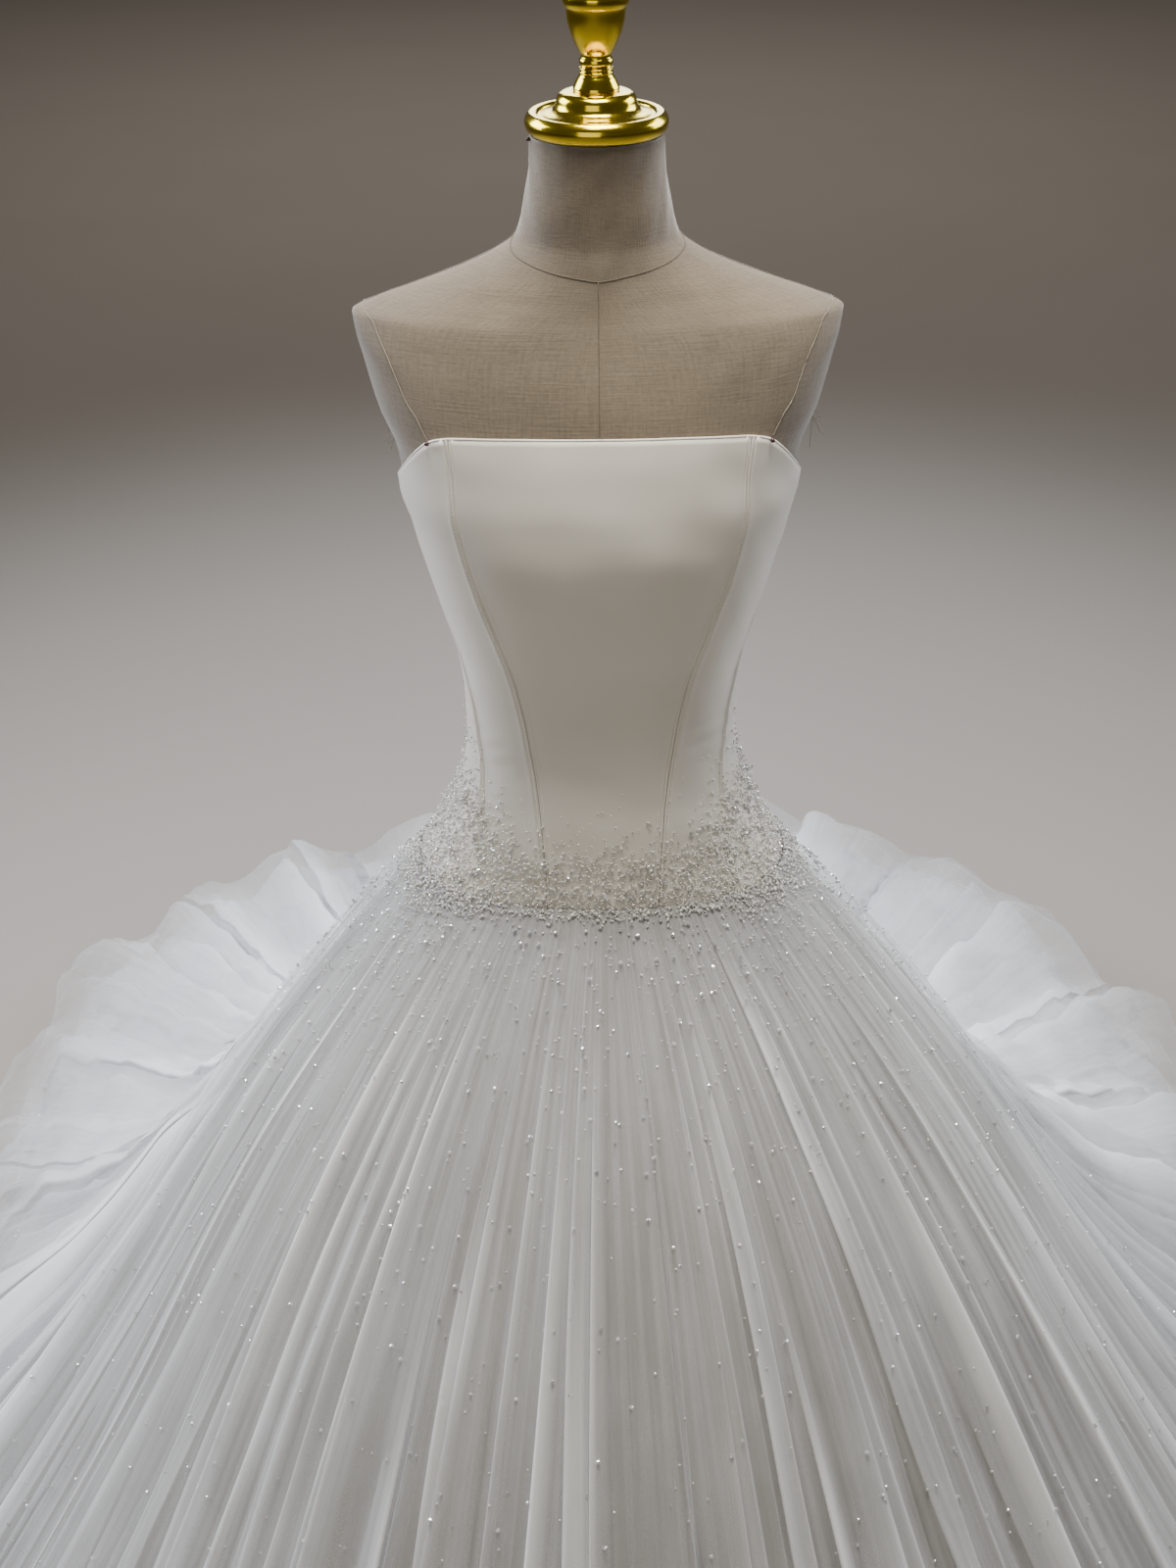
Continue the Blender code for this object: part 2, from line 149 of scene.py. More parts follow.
# The top edge of the bodice, by degrees from the front.
NECKLINE = table(
    "degrees z",
    (0.0, NECKLINE_FRONT_Z), (14.0, 1.3046), (26.0, 1.3032), (36.0, 1.3013),
    (41.0, 1.2990), (46.0, 1.2952), (51.0, 1.2890), (60.0, 1.2772),
    (68.0, 1.2665), (76.0, 1.2563), (90.0, NECKLINE_SIDE_Z), (130.0, 1.213),
    (180.0, NECKLINE_BACK_Z),
)

# How far the hem reaches from the pole, by degrees from the front.
HEM_OUTLINE = table(
    "degrees reach",
    (0.0, SIDE_HEM_REACH), (60.0, SIDE_HEM_REACH), (80.0, 0.745), (95.0, 0.765),
    (110.0, 0.830), (124.0, 0.955), (136.0, 1.110), (149.0, 1.290),
    (160.0, 1.410), (170.0, 1.475), (180.0, TRAIN_HEM_REACH),
)

# Rings of the skirt, waist to hem: where they lie in front and on the train's middle line, how
# much of the waist's oval is left, and how deep the folds and how high the lifted edge are.
SKIRT_RINGS = table(
    "front_reach front_z train_reach train_z oval tulle_fold broad_fold train_lift",
    (0.158, 0.895, 0.158, 0.895, 1.00, 0.0016, 0.000, 0.000),
    (0.198, 0.850, 0.198, 0.850, 0.75, 0.0035, 0.000, 0.000),
    (0.248, 0.785, 0.258, 0.765, 0.50, 0.0055, 0.002, 0.000),
    (0.308, 0.700, 0.345, 0.645, 0.30, 0.0075, 0.004, 0.000),
    (0.377, 0.590, 0.455, 0.495, 0.12, 0.0095, 0.006, 0.004),
    (0.446, 0.470, 0.615, 0.330, 0.00, 0.0115, 0.008, 0.012),
    (0.524, 0.340, 0.900, 0.195, 0.00, 0.0135, 0.010, 0.026),
    (0.624, 0.180, 1.395, 0.105, 0.00, 0.0155, 0.012, 0.045),
    (SIDE_HEM_REACH, 0.000, TRAIN_HEM_REACH, 0.000, 0.00, 0.0175, 0.012, 0.065),
)
HEM_RING = len(SKIRT_RINGS) - 1
WAIST = FORM_SECTIONS[3]

# A tulle fold seen from its cut edge: it swells gently, then tucks back under its own crisp edge.
LEANING_FOLD = table(
    "along height",
    (0.02, 0.00), (0.16, 0.04), (0.30, 0.13), (0.45, 0.30), (0.60, 0.54), (0.73, 0.79),
    (0.83, 0.96), (0.885, 1.00), (0.905, 0.88), (0.885, 0.58), (0.895, 0.25), (0.94, 0.06),
)

# Turned profiles as radius and height above the piece's underside.
CAP_PROFILE = table(
    "radius height",
    (0.0000, 0.0305), (0.0200, 0.0305), (0.0245, 0.0300), (0.0280, 0.0280),
    (0.0298, 0.0250), (0.0304, 0.0215), (0.0318, 0.0188), (0.0350, 0.0167),
    (0.0395, 0.0150), (0.0435, 0.0133), (0.0443, 0.0142), (0.0465, 0.0158),
    (0.0492, 0.0158), (0.0518, 0.0138), (0.0535, 0.0110), (0.0540, 0.0078),
    (0.0533, 0.0042), (0.0515, 0.0014), (0.0495, 0.0000), (0.0000, 0.0000),
)
FINIAL_PROFILE = table(
    "radius height",
    (0.0000, 0.1210), (0.0045, 0.1195), (0.0075, 0.1150), (0.0075, 0.1105),
    (0.0050, 0.1065), (0.0090, 0.1030), (0.0165, 0.0965), (0.0215, 0.0860),
    (0.0235, 0.0750), (0.0240, 0.0690), (0.0248, 0.0665), (0.0247, 0.0635),
    (0.0236, 0.0605), (0.0226, 0.0590), (0.0214, 0.0500), (0.0194, 0.0424),
    (0.0161, 0.0344), (0.0128, 0.0280), (0.0114, 0.0258), (0.0112, 0.0240),
    (0.0124, 0.0225), (0.0127, 0.0205), (0.0122, 0.0185), (0.0112, 0.0173),
    (0.0129, 0.0159), (0.0116, 0.0145), (0.0129, 0.0131), (0.0124, 0.0118),
    (0.0142, 0.0087), (0.0162, 0.0046), (0.0173, 0.0014), (0.0172, 0.0000),
    (0.0000, 0.0000),
)


def count_property(name, description, default, low=0, high=10000):
    """A whole number setting."""
    return bpy.props.IntProperty(name=name, description=description, default=default, min=low, max=high)


def length_property(name, description, default):
    """A length setting in metres."""
    return bpy.props.FloatProperty(name=name, description=description, default=default, unit="LENGTH")


def colour_property(name, description, colour):
    """A colour setting with its own default."""
    return bpy.props.FloatVectorProperty(
        name=name, description=description, subtype="COLOR", size=3, min=0.0, max=1.0, default=colour
    )


class GownSizes(bpy.types.PropertyGroup):
    outer_folds: count_property("Outer folds", "Folds round the outer tulle layer", 74, 24, 120)
    inner_folds: count_property("Inner folds", "Folds round the second tulle layer", 60, 24, 140)
    fold_depth: bpy.props.FloatProperty(
        name="Fold depth", description="Depth of the tulle's folds, as a share of the full depth", default=1.0
    )
    train_folds: count_property("Train folds", "Folds across each sheer layer of the train", 24, 12, 90)
    stitch_length: length_property("Stitch length", "Length of one topstitch", 0.0026)
    seed_bead: length_property("Seed bead", "Radius of a seed bead", 0.001)
    crystal: length_property("Crystal", "Radius of a crystal", 0.0018)
    beads_on_bodice: count_property("Beads on bodice", "Seed beads above the waist seam", 9900)
    beads_on_skirt: count_property("Beads on skirt", "Seed beads below the waist seam", 4800)
    crystals_on_skirt: count_property("Crystals on skirt", "Crystals scattered over the tulle", 2400)


class GownColours(bpy.types.PropertyGroup):
    satin: colour_property("Satin", "Ivory satin of the bodice", (0.86, 0.815, 0.725))
    tulle: colour_property("Tulle", "White net of the skirt", (0.88, 0.89, 0.895))
    # Dark as painted shade of the depth between the massed layers of net, not the cloth's own colour.
    underskirt: colour_property("Underskirt", "Cloth under the net", (0.20, 0.189, 0.165))
    linen: colour_property("Linen", "Cover of the dress form", (0.185, 0.150, 0.107))
    thread: colour_property("Thread", "Topstitching of the satin", (0.61, 0.58, 0.50))
    seam: colour_property("Seam", "Shadowed seams of the dress form", (0.13, 0.105, 0.075))
    edging: colour_property("Edging", "Armhole seams and frayed ends of the dress form", (0.30, 0.26, 0.20))
    brass: colour_property("Brass", "Polished cap and finial", (0.80, 0.60, 0.03))
    bead: colour_property("Bead", "Pearly seed beads", (0.77, 0.75, 0.70))
    crystal: colour_property("Crystal", "Clear faceted crystals", (0.95, 0.96, 0.98))
    pin: colour_property("Pin", "Enamelled pin heads", (0.05, 0.01, 0.015))
    steel: colour_property("Steel", "Stand under the skirt", (0.42, 0.42, 0.43))
    floor: colour_property("Floor", "Plain studio floor", (0.36, 0.32, 0.275))


def sizes():
    return bpy.context.scene.gown_sizes


def colours():
    return bpy.context.scene.gown_colours


# Shape rules shared by the pieces


def smooth_curve(knots, values, at):
    """A smooth curve through the knots that never overshoots them."""
    knots, values = np.asarray(knots, float), np.asarray(values, float)
    at = np.clip(at, knots[0], knots[-1])
    step = np.diff(knots)
    secant = np.diff(values) / step
    slope = np.empty_like(values)
    slope[0], slope[-1] = secant[0], secant[-1]
    before, after = secant[:-1], secant[1:]
    same_way = before * after > 0
    slope[1:-1] = np.where(same_way, 2 * before * after / np.where(same_way, before + after, 1.0), 0.0)
    k = np.clip(np.searchsorted(knots, at, side="right") - 1, 0, len(step) - 1)
    t = (at - knots[k]) / step[k]
    return (
        values[k] * (1 + 2 * t) * (1 - t) ** 2
        + slope[k] * step[k] * t * (1 - t) ** 2
        + values[k + 1] * t * t * (3 - 2 * t)
        + slope[k + 1] * step[k] * t * t * (t - 1)
    )


def from_rows(rows, knot, value, at):
    """One column of a table, read smoothly by another of its columns."""
    return smooth_curve(column(rows, knot), column(rows, value), at)


def smooth_step(low, high, at):
    t = np.clip((np.asarray(at, float) - low) / (high - low), 0.0, 1.0)
    return t * t * (3 - 2 * t)


def soft_noise(rng, x, y, size, waves=9):
    """Gentle unevenness over a surface, about -1 to 1, with features of about the given size."""
    total = np.zeros(np.broadcast(x, y).shape)
    for _ in range(waves):
        way = rng.uniform(0, TURN)
        pitch = size * rng.uniform(0.6, 1.7)
        total += np.sin(TURN * (x * math.cos(way) + y * math.sin(way)) / pitch + rng.uniform(0, TURN))
    return total / math.sqrt(waves)


def unit(vectors):
    return vectors / np.maximum(np.linalg.norm(vectors, axis=-1, keepdims=True), 1e-9)


def body_points(angle, z, grow=0.0):
    """Points of the dress form, moved out sideways by grow."""
    angle, z, grow = np.broadcast_arrays(angle, z, grow)
    half_width, front, back, squareness = (
        from_rows(FORM_SECTIONS, "z", size, z) for size in ("half_width", "front", "back", "squareness")
    )
    power = 2.0 / squareness
    side, ahead = np.sin(angle), np.cos(angle)
    depth = np.where(ahead >= 0, front, back)
    x = np.sign(side) * np.abs(side) ** power * (half_width + grow)
    y = -np.sign(ahead) * np.abs(ahead) ** power * (depth + grow)
    return np.stack((x, y, z), -1)


def body_frame(angle, z, grow):
    """Point and outward normal on the form or the bodice over it."""
    nudge = 1e-4
    along = body_points(angle + nudge, z, grow) - body_points(angle - nudge, z, grow)
    upward = unit(body_points(angle, z + nudge, grow) - body_points(angle, z - nudge, grow))
    return body_points(angle, z, grow), unit(np.cross(along, upward))


def seam_angle(which, z):
    return np.radians(from_rows(BODICE_SEAMS, "z", which, z))


def from_front(angle):
    """Degrees from the front, the same on both sides."""
    return np.abs((np.degrees(angle) + 180) % 360 - 180)


def neckline_z(angle):
    return from_rows(NECKLINE, "degrees", "z", from_front(angle))


def hem_reach(angle):
    return from_rows(HEM_OUTLINE, "degrees", "reach", from_front(angle))


def train_share(angle):
    """0 round the front and sides of the skirt, 1 on the train's middle line."""
    return (hem_reach(angle) - SIDE_HEM_REACH) / (TRAIN_HEM_REACH - SIDE_HEM_REACH)


FINE_ANGLES = np.radians(np.linspace(0.0, 360.0, 1441))
GATHER_DENSITY = 0.55 + 0.45 * hem_reach(FINE_ANGLES) / SIDE_HEM_REACH
GATHERED = np.concatenate(([0.0], np.cumsum((GATHER_DENSITY[1:] + GATHER_DENSITY[:-1]) / 2)))
GATHERED *= PLEATS / GATHERED[-1]


def angle_at(pleat):
    """The direction of a place counted in pleats from the front."""
    turns, rest = np.divmod(pleat, PLEATS)
    return np.interp(rest, GATHERED, FINE_ANGLES) + turns * TURN


def pleat_at(angle):
    turns, rest = np.divmod(angle, TURN)
    return np.interp(rest, FINE_ANGLES, GATHERED) + turns * PLEATS


def ruffle(pleat):
    """How far the train's edge is lifted there, from 0 on the floor to 1."""
    place = pleat + PLEATS_PER_GORE / 2
    return 0.5 + 0.5 * np.sin(TURN * place / PLEATS_PER_RUFFLE + 0.9) * np.cos(0.9 * place)


def waist_reach(angle):
    """Reach of the bodice's lower edge, an oval of the form's own section there."""
    side = np.abs(np.sin(angle)) / (WAIST.half_width + BODICE_EASE)
    depth = np.where(np.cos(angle) >= 0, WAIST.front, WAIST.back)
    ahead = np.abs(np.cos(angle)) / (depth + BODICE_EASE)
    return (side**WAIST.squareness + ahead**WAIST.squareness) ** (-1.0 / WAIST.squareness)


def ring_value(name, ring):
    """One column of the rings' table, read smoothly between the rings."""
    return smooth_curve(np.arange(len(SKIRT_RINGS)), column(SKIRT_RINGS, name), ring)


def skirt_line(angle, ring):
    """Reach and height of the smooth skirt, with ring 0 at the waist and HEM_RING at the hem."""
    share = train_share(angle)
    front, train = ring_value("front_reach", ring), ring_value("train_reach", ring)
    narrower = WAIST.half_width + BODICE_EASE - waist_reach(angle)
    reach = front + (train - front) * share - narrower * ring_value("oval", ring)
    front, train = ring_value("front_z", ring), ring_value("train_z", ring)
    return reach, front + (train - front) * share


def skirt_frame(angle, ring):
    """Point and outward normal of the smooth skirt."""
    angle, ring = np.broadcast_arrays(angle, ring)
    reach, z = skirt_line(angle, ring)
    nudge = 0.05
    low_reach, low_z = skirt_line(angle, np.minimum(ring + nudge, HEM_RING))
    top_reach, top_z = skirt_line(angle, np.maximum(ring - nudge, 0))
    run, drop = low_reach - top_reach, low_z - top_z
    way = np.stack((np.sin(angle), -np.cos(angle), np.zeros_like(angle)), -1)
    normal = unit(way * (-drop)[..., None] + UP * run[..., None])
    broad = ring_value("broad_fold", ring) * 0.5 * (np.sin(7 * angle + 0.5) + 0.7 * np.sin(12 * angle + 1.3))
    point = way * reach[..., None] + UP * z[..., None] + normal * broad[..., None]
    point[..., 2] += ring_value("train_lift", ring) * train_share(angle) * ruffle(pleat_at(angle))
    return point, normal


# Mesh making


def closed(values):
    """The columns with the first one again at the end."""
    return np.concatenate((values, values[:, :1]), 1)


def quad_corners(grid):
    """The four corners of each face between neighbouring rows and columns."""
    return np.stack((grid[1:, :-1], grid[1:, 1:], grid[:-1, 1:], grid[:-1, :-1]), 2)


def new_mesh(name, points, faces, smooth=True):
    mesh = bpy.data.meshes.new(name)
    mesh.from_pydata(points, [], faces)
    if smooth:
        mesh.shade_smooth()
    return mesh


def new_object(name, data):
    """Makes an object and puts it in the scene."""
    made = bpy.data.objects.new(name, data)
    bpy.context.scene.collection.objects.link(made)
    return made


def set_point_values(mesh, name, values):
    attribute = mesh.attributes.new(name, "FLOAT", "POINT")
    attribute.data.foreach_set("value", np.asarray(values, np.float32).ravel())


def grid_mesh(name, points, wrap=False, ridge=None, caps=False):
    """A smooth sheet over rows and columns of points, with a UV map "cloth" in metres."""
    rows, columns = points.shape[:2]
    index = np.arange(rows * columns).reshape(rows, columns)
    faces = quad_corners(closed(index) if wrap else index).reshape(-1, 4).tolist()
    if caps:
        faces += [index[0, ::-1].tolist(), index[-1].tolist()]
    mesh = new_mesh(name, points.reshape(-1, 3).tolist(), faces)
    across = np.linalg.norm(np.diff(closed(points) if wrap else points, axis=1), axis=2).mean(0)
    down = np.linalg.norm(np.diff(points, axis=0), axis=2).mean(1)
    u = np.broadcast_to(np.concatenate(([0.0], np.cumsum(across)))[None, :], (rows, len(across) + 1))
    v = np.broadcast_to(np.concatenate(([0.0], np.cumsum(down)))[:, None], u.shape)
    uv = quad_corners(np.stack((u, v), -1)).reshape(-1, 2)
    full = np.zeros((len(mesh.loops), 2), np.float32)
    full[: len(uv)] = uv
    mesh.uv_layers.new(name="cloth").data.foreach_set("uv", full.ravel())
    if ridge is not None:
        set_point_values(mesh, "ridge", ridge)
    return mesh


def add_piece(name, mesh, material, replaces=()):
    """Links a mesh as a piece of the gown, riding on the one body."""
    mesh.materials.append(material)
    piece = new_object(name, mesh)
    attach(piece, "root")
    if replaces:
        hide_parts(*replaces)
    return piece


def add_thread_line(name, lines, radius, finish, sides=6):
    """Thin round cords along lines of points, joined in one mesh."""
    all_points, all_faces, start = [], [], 0
    turn = np.arange(sides) * TURN / sides
    for line in lines:
        line = np.asarray(line, float)
        along = unit(np.gradient(line, axis=0))
        guide = np.where(np.abs(along[:, 2:3]) > 0.8, [[1.0, 0.0, 0.0]], [[0.0, 0.0, 1.0]])
        first = unit(np.cross(along, guide))
        second = np.cross(along, first)
        ring = line[:, None] + radius * (
            first[:, None] * np.cos(turn)[None, :, None] + second[:, None] * np.sin(turn)[None, :, None]
        )
        count = len(line)
        index = start + np.arange(count * sides).reshape(count, sides)
        nearby = np.roll(index, -1, 1)
        all_faces += np.stack((index[:-1], nearby[:-1], nearby[1:], index[1:]), -1).reshape(-1, 4).tolist()
        all_faces += [index[0, ::-1].tolist(), index[-1].tolist()]
        all_points += ring.reshape(-1, 3).tolist()
        start += count * sides
    add_piece(name, new_mesh(name, all_points, all_faces), shared_material(finish))


def add_scatter(name, shape, places, axes, scales, finish, smooth=True, tones=None):
    """Many copies of one small shape of triangles on the satin and net, joined in one mesh."""
    points, faces = (np.asarray(part) for part in shape)
    placed = places[:, None] + np.einsum("nki,nij->nkj", points[None] * scales[:, None, :], axes)
    shifted = faces[None] + (np.arange(len(places)) * len(points))[:, None, None]
    mesh = new_mesh(name, placed.reshape(-1, 3).tolist(), shifted.reshape(-1, 3).tolist(), smooth)
    if tones is not None:
        set_point_values(mesh, "tone", np.repeat(tones, len(points)))
    add_piece(name, mesh, shared_material(finish))


def bead_shape():
    """Points and triangles of a small ball of radius 1."""
    builder = bmesh.new()
    bmesh.ops.create_icosphere(builder, subdivisions=1, radius=1.0)
    points = [tuple(v.co) for v in builder.verts]
    faces = [tuple(v.index for v in f.verts) for f in builder.faces]
    builder.free()
    return points, faces



def hexagon(radius, z, turn=0.0):
    corners = [k * math.pi / 3 + turn for k in range(6)]
    return [(radius * math.cos(a), radius * math.sin(a), z) for a in corners]


def crystal_shape():
    """A cut stone: a flat table above a girdle of six, and a point below."""
    points = [*hexagon(1.0, 0.0), *hexagon(0.55, 0.55, 0.52), (0.0, 0.0, 0.6), (0.0, 0.0, -0.75)]
    faces = []
    for k in range(6):
        n = (k + 1) % 6
        faces += [(k, n, 6 + k), (n, 6 + n, 6 + k), (6 + k, 6 + n, 12), (n, k, 13)]
    return points, faces


def face_corners(piece):
    """The four corners of each face of a mesh of four-sided faces."""
    mesh = piece.data
    corner = np.zeros(len(mesh.loops), np.int32)
    mesh.loops.foreach_get("vertex_index", corner)
    points = np.zeros(len(mesh.vertices) * 3, np.float32)
    mesh.vertices.foreach_get("co", points)
    return points.reshape(-1, 3)[corner.reshape(-1, 4)].astype(float)


def surface_samples(pieces, weight, count, rng):
    """Random places and normals over the pieces, denser where weight is higher."""
    quads = np.concatenate([face_corners(piece) for piece in pieces])
    cross = np.cross(quads[:, 2] - quads[:, 0], quads[:, 3] - quads[:, 1])
    area = np.linalg.norm(cross, axis=1) / 2
    chance = area * np.maximum(weight(quads.mean(1)), 0)
    pick = rng.choice(len(quads), count, p=chance / chance.sum())
    u, v = rng.random((2, count, 1))
    a, b, c, d = quads[pick].transpose(1, 0, 2)
    return (a * (1 - u) + b * u) * (1 - v) + (d * (1 - u) + c * u) * v, unit(cross[pick])


def random_axes(normals, rng):
    """Three perpendicular directions with the last along the normal and a random turn about it."""
    loose = unit(rng.normal(size=normals.shape))
    first = unit(np.cross(normals, loose))
    return np.stack((first, np.cross(normals, first), normals), 1)


# Materials


def shader_of(material):
    return material.node_tree.nodes["Principled BSDF"]


def new_material(name, setting, roughness, **sockets):
    """A material in one of the colour settings, with plain values set on the shader itself."""
    made = bpy.data.materials.new(name)
    made.use_nodes = True
    shader = shader_of(made)
    shader.inputs["Base Color"].default_value = (*getattr(colours(), setting), 1.0)
    shader.inputs["Roughness"].default_value = roughness
    for socket, value in sockets.items():
        shader.inputs[socket.replace("_", " ")].default_value = value
    return made


def add_node(material, kind, **values):
    """A node with its input sockets set, or linked where an output socket is given."""
    node = material.node_tree.nodes.new(kind)
    for name, value in values.items():
        socket = node.inputs[int(name[1:])] if name[0] == "_" else node.inputs[name.replace("_", " ")]
        if isinstance(value, bpy.types.NodeSocket):
            material.node_tree.links.new(value, socket)
        else:
            socket.default_value = value
    return node


def link(material, output, socket_name):
    material.node_tree.links.new(output, shader_of(material).inputs[socket_name])


def combine(material, operation, first, second, clamp=False):
    node = add_node(material, "ShaderNodeMath", _0=first, _1=second)
    node.operation = operation
    node.use_clamp = clamp
    return node.outputs[0]


def plus(material, first, second):
    return combine(material, "ADD", first, second)


def times(material, first, second):
    return combine(material, "MULTIPLY", first, second)


def swing(material, amount, middle, strength):
    """How far an amount is from its middle, times a strength."""
    return times(material, combine(material, "SUBTRACT", amount, middle), strength)


def cloth_uv(material, across=1.0, down=1.0):
    """The cloth's own coordinates in metres, stretched by the two factors."""
    uv = material.node_tree.nodes.new("ShaderNodeUVMap")
    uv.uv_map = "cloth"
    return add_node(material, "ShaderNodeMapping", Vector=uv.outputs[0], Scale=(across, down, 1.0)).outputs[0]


def object_place(material):
    return material.node_tree.nodes.new("ShaderNodeTexCoord").outputs["Object"]


def point_value(material, name):
    """A value that the mesh holds for each of its points."""
    node = material.node_tree.nodes.new("ShaderNodeAttribute")
    node.attribute_name = name
    return node.outputs["Fac"]


def noise(material, vector, scale, detail=3.0):
    return add_node(material, "ShaderNodeTexNoise", Vector=vector, Scale=scale, Detail=detail).outputs[0]


def vary_colour(material, amount, dark, light):
    """Runs the colour between a darker and a lighter shade of itself, by an amount from 0 to 1."""
    own = shader_of(material).inputs["Base Color"].default_value[:3]
    node = add_node(material, "ShaderNodeMix", _0=amount)
    node.data_type = "RGBA"
    for socket, factor in ((6, dark), (7, light)):
        node.inputs[socket].default_value = (*(min(1.0, c * factor) for c in own), 1.0)
    link(material, node.outputs[2], "Base Color")


def bump(material, height, strength, distance):
    node = add_node(material, "ShaderNodeBump", Height=height, Strength=strength, Distance=distance)
    link(material, node.outputs[0], "Normal")


def satin_material():
    """Duchess satin: smooth and softly shining, with a hair-fine weave and faint unevenness."""
    made = new_material(
        "ivory_satin", "satin", 0.40,
        Sheen_Weight=0.15, Sheen_Roughness=0.4, Specular_IOR_Level=0.75, Anisotropic=0.45,
    )
    vary_colour(made, noise(made, object_place(made), 7.0), 0.95, 1.06)
    fine = noise(made, cloth_uv(made, 1.0, 6.0), 900.0, 2.0)
    soft = noise(made, cloth_uv(made, 1.0, 3.0), 22.0, 2.0)
    bump(made, plus(made, times(made, fine, 0.12), times(made, soft, 0.9)), 0.35, 0.0006)
    link(made, plus(made, times(made, fine, 0.18), 0.33), "Roughness")
    return made


def tulle_material(name, cover, ridge_cover, streaks):
    """Fine net: partly see-through and denser where its folds stand edge on, its colour with painted
    highlight on the fold ridges and painted shade in the hollows between.
    """
    made = new_material(name, "tulle", 0.75, Sheen_Weight=0.3, Sheen_Roughness=0.5, Specular_IOR_Level=0.3)
    ridge = point_value(made, "ridge")
    grain = swing(made, noise(made, cloth_uv(made), 1300.0, 1.0), 0.5, 0.5)
    lines = swing(made, noise(made, cloth_uv(made, 110.0, 1.0), 1.0, 4.0), 0.5, streaks)
    clouds = swing(made, noise(made, cloth_uv(made, 1.0, 0.4), 16.0, 3.0), 0.5, 0.3)
    uneven = plus(made, plus(made, grain, clouds), lines)
    dense = times(made, combine(made, "POWER", ridge, 2.0), ridge_cover)
    total = plus(made, uneven, plus(made, dense, cover))
    link(made, combine(made, "MINIMUM", combine(made, "MAXIMUM", total, 0.04), 0.97), "Alpha")
    # Painted highlight and shade: lighter on fold ridges, darker in the hollows, by the ridge value.
    vary_colour(made, ridge, 0.90, 1.10)
    return made


def painted_shade_underskirt_material():
    """The massed layers under the outer net: matt, with fine gather lines running down, and dark as painted
    shade of the depth between the layers.
    """
    made = new_material("underskirt_net", "underskirt", 0.95, Sheen_Weight=0.2)
    lines = noise(made, cloth_uv(made, 70.0, 0.8), 1.0, 4.0)
    soft = noise(made, cloth_uv(made, 1.0, 0.4), 6.0, 2.0)
    vary_colour(made, times(made, plus(made, lines, soft), 0.5), 0.62, 1.38)
    bump(made, lines, 0.5, 0.004)
    return made


def linen_material():
    """Plain-woven linen with thick and thin threads both ways, and a few darker slubs."""
    made = new_material("natural_linen", "linen", 0.92, Sheen_Weight=0.55, Sheen_Roughness=0.4)
    weft = noise(made, cloth_uv(made, 45.0, 620.0), 1.0, 3.0)
    warp = noise(made, cloth_uv(made, 620.0, 45.0), 1.0, 3.0)
    weave = times(made, plus(made, weft, warp), 0.5)
    speck = noise(made, cloth_uv(made), 420.0, 2.0)
    stain = noise(made, object_place(made), 9.0, 4.0)
    amount = plus(made, times(made, weave, 0.6), times(made, speck, 0.35))
    amount = plus(made, amount, swing(made, stain, 0.5, 0.5))
    vary_colour(made, combine(made, "ADD", swing(made, amount, 0.475, 2.4), 0.5, clamp=True), 0.72, 1.30)
    bump(made, weave, 0.7, 0.0008)
    return made


def brass_material():
    """Mirror-polished brass with the faintest turning marks."""
    made = new_material("polished_brass", "brass", 0.07, Metallic=1.0)
    marks = noise(made, object_place(made), 240.0, 2.0)
    link(made, plus(made, times(made, marks, 0.06), 0.13), "Roughness")
    vary_colour(made, noise(made, object_place(made), 30.0, 2.0), 0.94, 1.05)
    return made


def steel_material():
    made = new_material("brushed_steel", "steel", 0.4, Metallic=1.0)
    marks = noise(made, object_place(made), 60.0, 3.0)
    link(made, plus(made, times(made, marks, 0.25), 0.28), "Roughness")
    return made


def bead_material():
    """Glass and pearl seed beads, each a little different."""
    made = new_material(
        "seed_beads", "bead", 0.16, Specular_IOR_Level=0.9, Coat_Weight=0.8, Coat_Roughness=0.05
    )
    tone = point_value(made, "tone")
    vary_colour(made, tone, 0.72, 1.28)
    link(made, times(made, combine(made, "GREATER_THAN", tone, 0.8), 0.25), "Metallic")
    return made


def crystal_material():
    """Foil-backed cut stones that flash."""
    made = new_material("cut_crystal", "crystal", 0.05, Metallic=0.5, Coat_Weight=1.0)
    vary_colour(made, point_value(made, "tone"), 0.65, 1.1)
    return made


def plain_material(name, setting, roughness, scale, light, **sockets):
    """One plain colour, a little uneven over small distances."""
    made = new_material(name, setting, roughness, **sockets)
    vary_colour(made, noise(made, object_place(made), scale), 0.8, light)
    return made


def cord_material(name, setting):
    return plain_material(name, setting, 0.7, 200.0, 1.2)


MATERIAL_MAKERS = {
    "satin": satin_material,
    "underskirt": painted_shade_underskirt_material,
    "linen": linen_material,
    "brass": brass_material,
    "steel": steel_material,
    "beads": bead_material,
    "crystal": crystal_material,
    "thread": lambda: cord_material("sewing_thread", "thread"),
    "seam": lambda: cord_material("form_seam", "seam"),
    "edging": lambda: cord_material("form_edging", "edging"),
    "pin": lambda: plain_material("pin_enamel", "pin", 0.25, 300.0, 1.6, Coat_Weight=0.6),
}
made_materials = {}


def shared_material(name):
    """Each finish is made once and shared by its pieces."""
    if name not in made_materials:
        made_materials[name] = MATERIAL_MAKERS[name]()
    return made_materials[name]


# Dress form

SHOULDER_LOW_Z = 1.335
SHOULDER_HIGH_Z = 1.440
COLLAR_FRONT_Z = 1.412
COLLAR_BACK_Z = 1.446
# The middle seams start here, hidden under the bodice's top edge.
SEAM_START_Z = 1.19
COVER_UNEVENNESS = 0.00035
SEAM_LIFT = 0.0002
SEAM_RADIUS = 0.0004
ARMHOLE = table(
    "degrees z",
    (47, 1.295), (50, 1.3115), (53, 1.320), (56, 1.336), (59, 1.352), (62.5, 1.3635), (67, 1.3745),
    (78, 1.3795), (92, 1.381), (106, 1.376), (115, 1.352), (121, 1.310), (125, 1.250),
)
